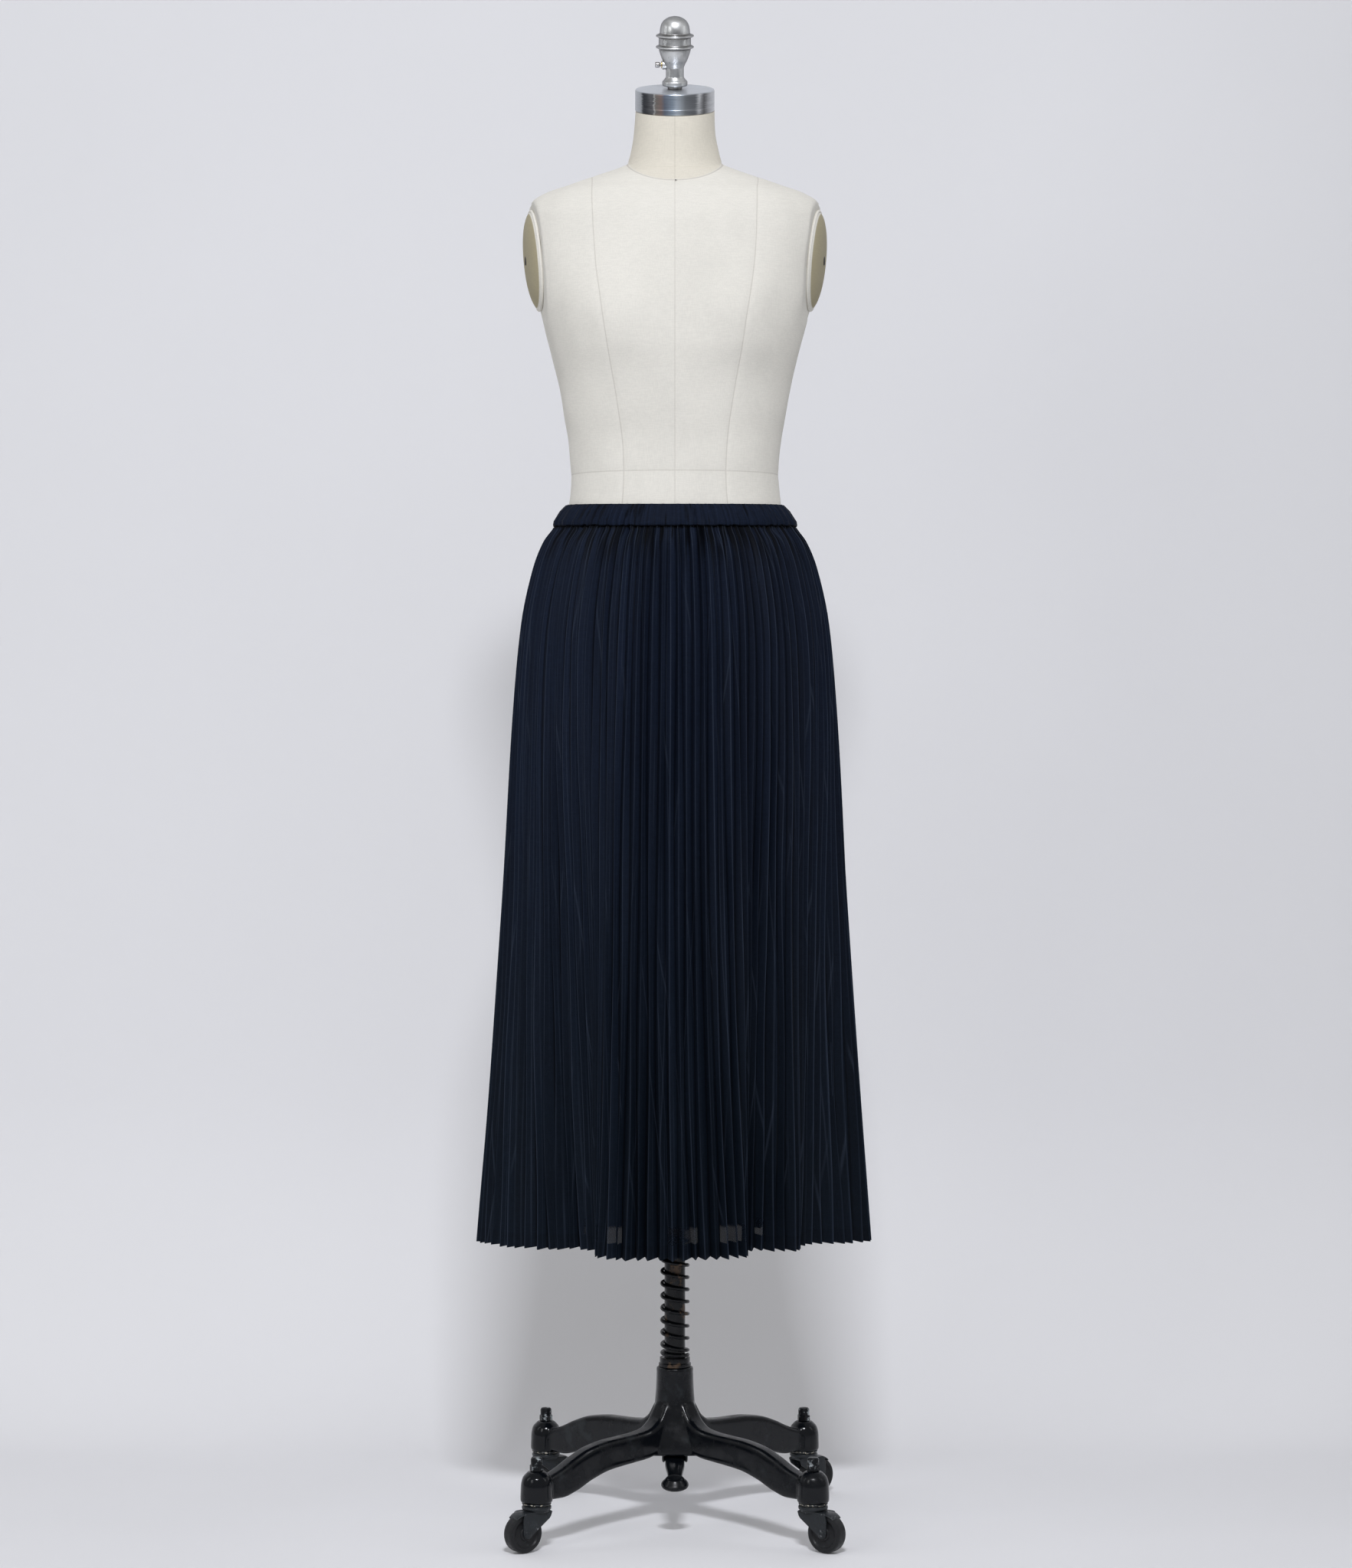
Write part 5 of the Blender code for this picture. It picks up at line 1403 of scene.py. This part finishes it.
def nut_patches(side_x, side_y):
    """A castor's nut, a profile carried round in six sides, and the stem's round end above it."""
    low, r, top = NUT_LOW, NUT_RADIUS, NUT_LOW + NUT_HEIGHT
    hexagon = (
        (0.0010, low), (r - 0.0006, low), (r, low + 0.0006), (r, low + 0.0058), (r - 0.0011, low + 0.0068),
        (0.0010, low + 0.0068),
    )
    stub = (
        (0.0010, low + 0.0050), (0.0062, low + 0.0050), (0.0063, top - 0.0018), (0.0050, top), (0.0010, top),
    )
    turn, shift = 0.3 + side_x * 0.4, (side_x * CASTOR_SPREAD, side_y * CASTOR_SPREAD, 0)
    return [
        moved(lathe(hexagon, 6), lambda p: turned_about(p, 2, turn) + shift),
        moved(lathe(rounded(stub, 0.0004, 2), 24), lambda p: p + shift),
    ]


def web_patch():
    """The iron between the front legs: superellipses from the bottom up, clear of the knuckle."""
    levels = np.linspace(WEB_FRONT[0][0], WEB_FRONT[-1][0], 40)[:, None]
    front, half = (through(levels, *zip(*table)) for table in (WEB_FRONT, WEB_HALF))
    back = np.interp(levels, (0.0830, 0.0845), (-0.0288, -0.0140))
    angles = np.arange(40) * TAU / 40
    across, ahead = (np.sign(w) * np.abs(w) ** 0.4 for w in (np.cos(angles), np.sin(angles)))
    y = (front + back) / 2 + (front - back) / 2 * ahead
    return skin(np.stack([half * across, y, levels + 0 * across], axis=2))


def at_castor(side_x, side_y, trail_x):
    """Puts points drawn with the trail along +X at their own castor, turned the way it trails."""
    turn = np.arctan2(side_y * TRAIL_LENGTHWAYS, trail_x * TRAIL_SIDEWAYS)
    return lambda points: turned_about(points, 2, turn) + (side_x * CASTOR_SPREAD, side_y * CASTOR_SPREAD, 0)


def fork_patches(place):
    """Two cheeks, a hooded crown over the wheel, the races and the riveted axle."""
    axle = WHEEL_RADIUS
    cheek = [(-0.0135, 0.0432), (-0.0118, 0.0362)]
    cheek += [(CASTOR_TRAIL + ahead, axle + up) for ahead, up in CHEEK_FOOT]
    cheek = rounded(cheek, 0.0030, 4, closed=True)
    patches = [
        slab(cheek, low, low + FORK_PLATE, 0.0005, lambda p: place(p[:, [0, 2, 1]]))
        for low in (FORK_INSIDE, -FORK_INSIDE - FORK_PLATE)
    ]
    line = along_profile(CROWN_LINE, 26)
    angles = np.linspace(0, TAU, 24, endpoint=False)
    wide = (FORK_INSIDE + FORK_PLATE) * through(line[:, :1], (-0.013, 0.018, 0.0300), (1.0, 0.95, 0.74))
    across = wide * np.sign(np.cos(angles)) * np.abs(np.cos(angles)) ** 0.35
    lift = 0.00105 * np.sign(np.sin(angles)) * np.abs(np.sin(angles)) ** 0.6
    lift = lift + 0.0009 * (1 - (across / wide) ** 2)
    crown = np.stack([line[:, :1] + 0 * across, across, line[:, 1:] - 0.0016 + lift], axis=2)
    patches.append(moved(skin(crown), place))
    patches.append(moved(lathe(rounded(RACE_PROFILE, 0.0003, 2), 48), place))
    reach = FORK_INSIDE + FORK_PLATE
    head = ((0.0030, -0.0008), (0.0042, -0.0004), (0.0041, 0.0004), (0.0028, 0.0015), (0.0008, 0.0018))
    rivet = [(r, -reach - z) for r, z in head[::-1]] + [(r, reach + z) for r, z in head]
    patches.append(moved(lathe(rivet, 24), lambda p: place(p[:, [0, 2, 1]] + (CASTOR_TRAIL, 0, axle))))
    return patches


def pedal_patches():
    """A knuckle on its pin, a tapered arm with a ribbed groove, and a flared round pad."""
    _, y0, z0 = PEDAL_AXIS
    knuckle = ((0.0010, -0.0136), (0.0026, -0.0134), (0.0027, -0.0104), (0.0060, -0.0102), (0.0062, -0.0096),
               (0.0062, 0.0096), (0.0060, 0.0102), (0.0027, 0.0104), (0.0026, 0.0134), (0.0010, 0.0136))
    patches = [moved(lathe(knuckle, 28), lambda p: p[:, [2, 1, 0]] + (0, y0, z0))]
    share = np.linspace(0, 1, 30)[:, None]
    angles = np.arange(24) * TAU / 24
    half = through(share, (0, 0.25, 0.7, 1), (0.0104, 0.0108, 0.0082, 0.0074))
    thick = through(share, (0, 0.5, 1), (0.0046, 0.0042, 0.0036))
    across, rise = np.cos(angles), np.sin(angles)
    x = half * np.sign(across) * np.abs(across) ** 0.55
    groove = np.exp(-(((x - 0.4 * half) / 0.0022) ** 2)) * np.clip(share * 6, 0, 1)
    z = z0 - PEDAL_PAD_DROP * share + thick * np.sign(rise) * np.abs(rise) ** 0.55
    z = z - 0.0014 * np.clip(rise, 0, 1) ** 2 * groove
    y = y0 + PEDAL_PAD_Y * share + 0 * x
    patches.append(skin(np.stack([x, y, z], axis=2)))
    shift = (0, y0 + PEDAL_PAD_Y, z0 - PEDAL_PAD_DROP)
    pad = lathe(PAD_PROFILE, 48)
    patches.append(moved(pad, lambda p: turned_about(p, 0, np.radians(PAD_TILT)) + shift))
    return patches


# Operators


class SkirtPanels(bpy.types.Operator):
    """Two pleated panels, front and back, as thin shells on their solids' form."""

    bl_idname = "dress_form.skirt_panels"
    bl_label = "Skirt panels"

    def execute(self, context):
        finish = pleated_cloth()
        for node, first, seed in (("skirt_front", 0.0, 11), ("skirt_back", np.pi, 23)):
            outer, inner, pleats, rise = panel_grids(first, seed)
            mesh = new_mesh(f"{node}_cloth", [thin_shell(outer, inner, pleats + seed, rise)])
            made = finish_piece(mesh, finish, "form", [node], sharp=60.0)
        return {"FINISHED"}


class Waistband(bpy.types.Operator):
    """The gathered elastic casing round the waist."""

    bl_idname = "dress_form.waistband"
    bl_label = "Waistband"

    def execute(self, context):
        outer, inner, turn, run = casing_grids()
        mesh = new_mesh("waistband_casing", [thin_shell(outer, inner, turn, run, around=True)])
        made = finish_piece(mesh, casing_cloth(), "form", ["waistband"], sharp=60.0)
        return {"FINISHED"}


class FormBody(bpy.types.Operator):
    """The canvas body with its seams, and the plates where arms would start."""

    bl_idname = "dress_form.body"
    bl_label = "Form body"

    def execute(self, context):
        grid, seams = body_grid()
        mesh = new_mesh("form_body", [skin(grid)])
        for label, away in seams.items():
            values = np.r_[away.ravel(), 0.05, 0.05].astype(np.float32)
            mesh.attributes.new(label, "FLOAT", "POINT").data.foreach_set("value", values)
        finish_piece(mesh, canvas(), "form", ["form_torso"], sharp=60.0)
        plain = canvas("plate_canvas", seams=False)
        dark = bare_metal("eyelet_metal", (0.10, 0.10, 0.10), (0.03, 0.03, 0.03), 0.35)
        for name, side in (("left", -1), ("right", 1)):
            cover = new_mesh(f"arm_plate_{name}_cover", list(arm_plate_patches(side)))
            finish_piece(cover, plain, "form", [f"arm_plate_{name}"], sharp=60.0)
            eyelet = new_mesh(f"arm_eyelet_{name}", eyelet_patches(side))
            finish_piece(eyelet, dark, "form", [])
        bright = bare_metal("pin_metal", (0.50, 0.49, 0.46), (0.2, 0.2, 0.19), 0.2)
        finish_piece(new_mesh("neckline_pin", [pin_patch()]), bright, "form", [])
        return {"FINISHED"}


class NeckFittings(bpy.types.Operator):
    """The turned cap, the cast finial and its set screw, on the leaning neck."""

    bl_idname = "dress_form.neck_fittings"
    bl_label = "Neck cap and finial"

    def execute(self, context):
        cap = new_mesh("neck_cap_turned", [moved(cap_patch(), on_neck)])
        finish_piece(cap, turned_steel(), "form", ["neck_cap"], sharp=30.0)
        spot = (0, 0, 2 * GAP + CAP_HEIGHT)
        body = moved(lathe(along_profile(FINIAL_PROFILE, 260), 72), lambda p: on_neck(p, spot))
        side_spot = (0, 0, spot[2] + SCREW_HEIGHT)
        boss, shank, washer = (
            lathe(rounded(profile, radius, steps, ring), sides, ring=ring)
            for profile, radius, steps, sides, ring in SCREW_PARTS
        )
        boss, shank, washer = (
            moved(patch, lambda p: on_neck(sideways(p), side_spot)) for patch in (boss, shank, washer)
        )
        steel = bare_metal("screw_steel", (0.42, 0.41, 0.40), (0.05, 0.05, 0.05), 0.26)
        brass = bare_metal("washer_brass", (0.60, 0.42, 0.16), (0.2, 0.13, 0.06), 0.28)
        finial = new_mesh("finial_turned", [body, boss])
        finish_piece(finial, cast_aluminium(), "form", ["finial"], sharp=45.0)
        screw = new_mesh("finial_set_screw", [shank])
        finish_piece(screw, steel, "form", ["finial_screw"])
        finish_piece(new_mesh("finial_washer", [washer]), brass, "form", [])
        return {"FINISHED"}


class Post(bpy.types.Operator):
    """The sliding post with its flange, the two collars and the coil spring between them."""

    bl_idname = "dress_form.post"
    bl_label = "Post and spring"

    def execute(self, context):
        steel = black_metal("post_steel", 0.16, 0.22, 0.30, 0.52)
        low = HUB_TOP + GAP
        for name, patch, body, node in (
            ("flange_plate", flange_patch(), "form", "form_flange"),
            ("post_tube", post_patch(), "form", "post"),
            ("stop_collar", collar_patch(STOP_HEIGHT, STOP_STEPS), "form", "spring_stop"),
            ("seat_collar", collar_patch(low, SEAT_STEPS), "stand", "spring_seat"),
        ):
            finish_piece(new_mesh(name, [patch]), steel, body, [node], sharp=30.0)
        self.spring(low + COLLAR_HEIGHT + GAP, STOP_HEIGHT - GAP)
        return {"FINISHED"}

    def spring(self, low, high):
        """A left-handed helix of round wire, its two end turns flat on their collars."""
        turns = SPRING_TURNS
        share = np.linspace(0, turns, int(turns * 44) + 1)
        first, last = low + SPRING_WIRE / 2, high - SPRING_WIRE / 2
        lie = SPRING_WIRE + 3 * GAP
        z = np.interp(share, (0, 1, turns - 1, turns), (first, first + lie, last - lie, last))
        z = np.convolve(np.r_[np.full(8, z[0]), z, np.full(8, z[-1])], np.ones(17) / 17, mode="valid")
        path = np.stack([SPRING_RADIUS * np.cos(TAU * share), -SPRING_RADIUS * np.sin(TAU * share), z], 1)
        outward = path * (1, 1, 0)
        mesh = new_mesh("coil_spring", [tube(path, SPRING_WIRE / 2, 12, outward)])
        steel = black_metal("spring_steel", 0.18, 0.24, 0.30, 0.40)
        made = finish_piece(mesh, steel, None, ["spring"], sharp=50.0)
        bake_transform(made)


class Casting(bpy.types.Operator):
    """Hub, four arched legs, castor bells and pedal lugs as one filleted casting, and its nuts."""

    bl_idname = "dress_form.casting"
    bl_label = "Stand casting"

    def execute(self, context):
        patches = [lathe(HUB_PROFILE, 64)]
        for _, side_x, side_y, _ in CASTORS:
            patches.append(leg_patch(side_x, side_y))
            patches.append(bell_patch(side_x, side_y))
        patches += [lug_patch(-1), lug_patch(1), web_patch()]
        bore = lathe(((HUB_BORE, 0.05), (HUB_BORE, 0.19)), 64)
        mesh = cast("cast_stand", patches, context.scene.stand_looks.voxel, 3, hollow=bore)
        enamel = black_metal("black_enamel", 0.13, 0.10, 0.42, 0.08)
        finish_piece(mesh, enamel, "stand", ["stand_casting"], sharp=60.0)
        nuts = []
        for _, side_x, side_y, _ in CASTORS:
            nuts += nut_patches(side_x, side_y)
        worn_steel = black_metal(
            "nut_steel", 0.30, 0.55, 0.45, 0.35, metallic=0.3, bright=(0.42, 0.46, 0.48),
        )
        nodes = [f"castor_nut_{row[0]}" for row in CASTORS]
        finish_piece(new_mesh("castor_nuts", nuts), worn_steel, "stand", nodes, sharp=25.0)
        return {"FINISHED"}


class Pedal(bpy.types.Operator):
    """The release pedal under the front of the hub."""

    bl_idname = "dress_form.pedal"
    bl_label = "Pedal"

    def execute(self, context):
        mesh = cast("pedal_lever", pedal_patches(), 0.0008, 4)
        iron = black_metal("pedal_iron", 0.14, 0.26, 0.35, 0.12)
        finish_piece(mesh, iron, "pedal", ["pedal"], sharp=60.0)
        return {"FINISHED"}


class Castors(bpy.types.Operator):
    """Four forks that swivel and four solid wheels that roll in them."""

    bl_idname = "dress_form.castors"
    bl_label = "Castors"

    def execute(self, context):
        iron = black_metal(
            "fork_iron", 0.24, 0.34, 0.45, 0.25, base=(0.016, 0.019, 0.022), flecked=(0.0485, 0.0512),
        )
        rubber = wheel_rubber()
        half = np.array(WHEEL_PROFILE)
        ring = np.vstack([half, half[::-1] * (1, -1)])
        for name, side_x, side_y, trail_x in CASTORS:
            place = at_castor(side_x, side_y, trail_x)
            axle = (CASTOR_TRAIL, 0, WHEEL_RADIUS)
            wheel = moved(lathe(ring, 72, ring=True), lambda p: place(p[:, [0, 2, 1]] + axle))
            for part_name, patches, finish, body, slot in (
                (f"castor_fork_{name}", fork_patches(place), iron, f"castor_{name}", "black_iron"),
                (f"castor_wheel_{name}", [wheel], rubber, f"wheel_{name}", "black_rubber"),
            ):
                mesh = new_mesh(f"{part_name}_made", patches)
                finish_piece(mesh, finish, body, [part_name], sharp=40.0)
        return {"FINISHED"}


class Studio(bpy.types.Operator):
    """A plain pale floor that fades into the backdrop, soft lights, and the camera."""

    bl_idname = "dress_form.studio"
    bl_label = "Studio"

    def execute(self, context):
        self.floor(context)
        self.world(context)
        self.lights(context)
        self.camera(context)
        return {"FINISHED"}

    def floor(self, context):
        """A paper sweep: floor, a quarter turn, then a wall, drawn as a profile carried along X."""
        settings = context.scene.studio
        turn = np.linspace(0, np.pi / 2, 24)[1:]
        flat = np.linspace(-3.1, settings.wall - settings.bend, 50)
        rise = np.linspace(settings.bend, 3.4, 40)[1:]
        y = np.r_[flat, flat[-1] + settings.bend * np.sin(turn), np.full(len(rise), settings.wall)]
        z = np.r_[0 * flat, settings.bend * (1 - np.cos(turn)), rise] - 0.0004
        x = np.linspace(-3.2, 3.2, 60)
        points = np.stack(np.broadcast_arrays(x[None, :], y[:, None], z[:, None]), 2).reshape(-1, 3)
        row, column = every_cell(len(y) - 1, len(x) - 1)
        first = row * len(x) + column
        quads = np.stack([first, first + 1, first + len(x) + 1, first + len(x)], 1)
        sheet = {"points": points, "faces": [quads], "uvs": [np.zeros((len(quads), 4, 2))]}
        mesh = new_mesh("studio_paper", [sheet])
        made = bpy.data.objects.new("studio_paper", mesh)
        context.scene.collection.objects.link(made)
        mesh.shade_smooth()
        paper, tree, shader, coords = new_finish("backdrop_paper")
        distances = (
            add(tree, "ShaderNodeVectorMath", {0: coords["Object"], 1: spot}, operation="DISTANCE")
            for spot in ((0, 0, 0.9), (0, -0.1, 0))
        )
        away, near = (node.outputs["Value"] for node in distances)
        facing = tree.nodes.new("ShaderNodeNewGeometry").outputs["Backfacing"]
        facing = maths(tree, "SUBTRACT", 1.0, facing)
        aside = part(tree, coords["Object"], 0)
        # painted shade and light on the paper: darker towards both sides where the light falls off, and
        # brighter near the stand as a painted pool of light; the cloud is the paper's own unevenness
        right, left = span(tree, aside, 0.40, 1.20, 1.0, 0.905), span(tree, aside, -1.1, -0.4, 0.985, 1.0)
        cloud = maths(tree, "MULTIPLY_ADD", grain(tree, coords["Object"], 1.5, 2.0), 0.06, 0.97)
        pale = times(tree, cloud, times(tree, right, left), span(tree, near, 0.10, 0.60, 1.10, 1.0))
        dress(tree, shader, {
            "Base Color": scaled(tree, tuple(settings.floor), pale),
            "Roughness": 0.9, "Specular IOR Level": 0.1,
            "Alpha": times(tree, facing, span(tree, away, 2.3, 3.4, 1.0, 0.0)),
        })
        mesh.materials.append(paper)

    def world(self, context):
        """Seen, the world is the flat backdrop; as light, it is a soft room with a dark floor."""
        settings = context.scene.studio
        world = bpy.data.worlds.new("studio_world")
        context.scene.world = world
        world.use_nodes = True
        tree = world.node_tree
        tree.nodes.clear()
        seen = add(tree, "ShaderNodeBackground", {"Color": (*settings.backdrop, 1), "Strength": 1.0})
        up = part(tree, add(tree, "ShaderNodeTexCoord").outputs["Generated"], 2)
        lit = tone(tree, span(tree, up, -0.25, 0.15), (0.20, 0.21, 0.23), (1.0, 0.99, 0.99))
        room = add(tree, "ShaderNodeBackground", {"Color": lit, "Strength": settings.ambient})
        path = add(tree, "ShaderNodeLightPath").outputs["Is Camera Ray"]
        mix = add(tree, "ShaderNodeMixShader", {0: path, 1: room.outputs[0], 2: seen.outputs[0]})
        out = tree.nodes.new("ShaderNodeOutputWorld")
        tree.links.new(mix.outputs[0], out.inputs[0])

    def lights(self, context):
        """Area lights: the high key in front, a weak fill and two strips for the metal's edges."""
        for name, place, aim, size, share, colour in LAMPS:
            data = bpy.data.lights.new(name, "AREA")
            data.shape, data.size, data.size_y = "RECTANGLE", *size
            data.energy, data.color = context.scene.studio.key_power * share, colour
            lamp = bpy.data.objects.new(name, data)
            context.scene.collection.objects.link(lamp)
            lamp.location = place
            lamp.rotation_euler = (Vector(aim) - Vector(place)).to_track_quat("-Z", "Y").to_euler()
            lamp.visible_camera = False

    def camera(self, context):
        """The photograph's view: a level camera, shifted so the horizon and post fall where they do."""
        data = bpy.data.cameras.new("photo_camera")
        data.sensor_fit, data.sensor_width = "AUTO", 36.0
        data.lens = 36.0 * FOCAL_PIXELS / IMAGE_HEIGHT
        data.dof.use_dof = False
        data.clip_start, data.clip_end = 0.1, 60.0
        data.shift_x = (IMAGE_WIDTH / 2 - CENTRE_COLUMN) / IMAGE_HEIGHT
        data.shift_y = (HORIZON_ROW - IMAGE_HEIGHT / 2) / IMAGE_HEIGHT
        eye = bpy.data.objects.new("photo_camera", data)
        context.scene.collection.objects.link(eye)
        eye.location = (0, -CAMERA_DISTANCE, CAMERA_HEIGHT)
        eye.rotation_euler = (np.pi / 2, 0, 0)
        context.scene.camera = eye
        context.scene.view_settings.view_transform = "Standard"


SETTINGS = (
    ("skirt_cloth", ClothSettings), ("form_looks", FormSettings), ("stand_looks", StandSettings),
    ("studio", StudioSettings),
)
OPERATORS = (SkirtPanels, Waistband, FormBody, NeckFittings, Post, Casting, Pedal, Castors, Studio)


class DressFormPanel(bpy.types.Panel):
    """Lists the pieces and their settings."""

    bl_idname = "VIEW3D_PT_dress_form"
    bl_label = "Skirt on Dress Form"
    bl_space_type = "VIEW_3D"
    bl_region_type = "UI"
    bl_category = "Skirt"

    def draw(self, context):
        for name, kind in SETTINGS:
            box = self.layout.box()
            for prop in kind.__annotations__:
                box.prop(getattr(context.scene, name), prop)
        for operator in OPERATORS:
            self.layout.operator(operator.bl_idname)


def register():
    for kind in [k for _, k in SETTINGS] + list(OPERATORS) + [DressFormPanel]:
        bpy.utils.register_class(kind)
    for name, kind in SETTINGS:
        setattr(bpy.types.Scene, name, bpy.props.PointerProperty(type=kind))


def unregister():
    for name, _ in SETTINGS:
        delattr(bpy.types.Scene, name)
    for kind in [DressFormPanel] + list(OPERATORS)[::-1] + [k for _, k in SETTINGS]:
        bpy.utils.unregister_class(kind)


def main():
    """Builds everything in order."""
    register()
    for operator in OPERATORS:
        section, name = operator.bl_idname.split(".")
        if getattr(getattr(bpy.ops, section), name)() != {"FINISHED"}:
            raise RuntimeError(f"{operator.bl_label} couldn't finish")
    bpy.context.view_layer.update()


if __name__ == "__main__":
    main()
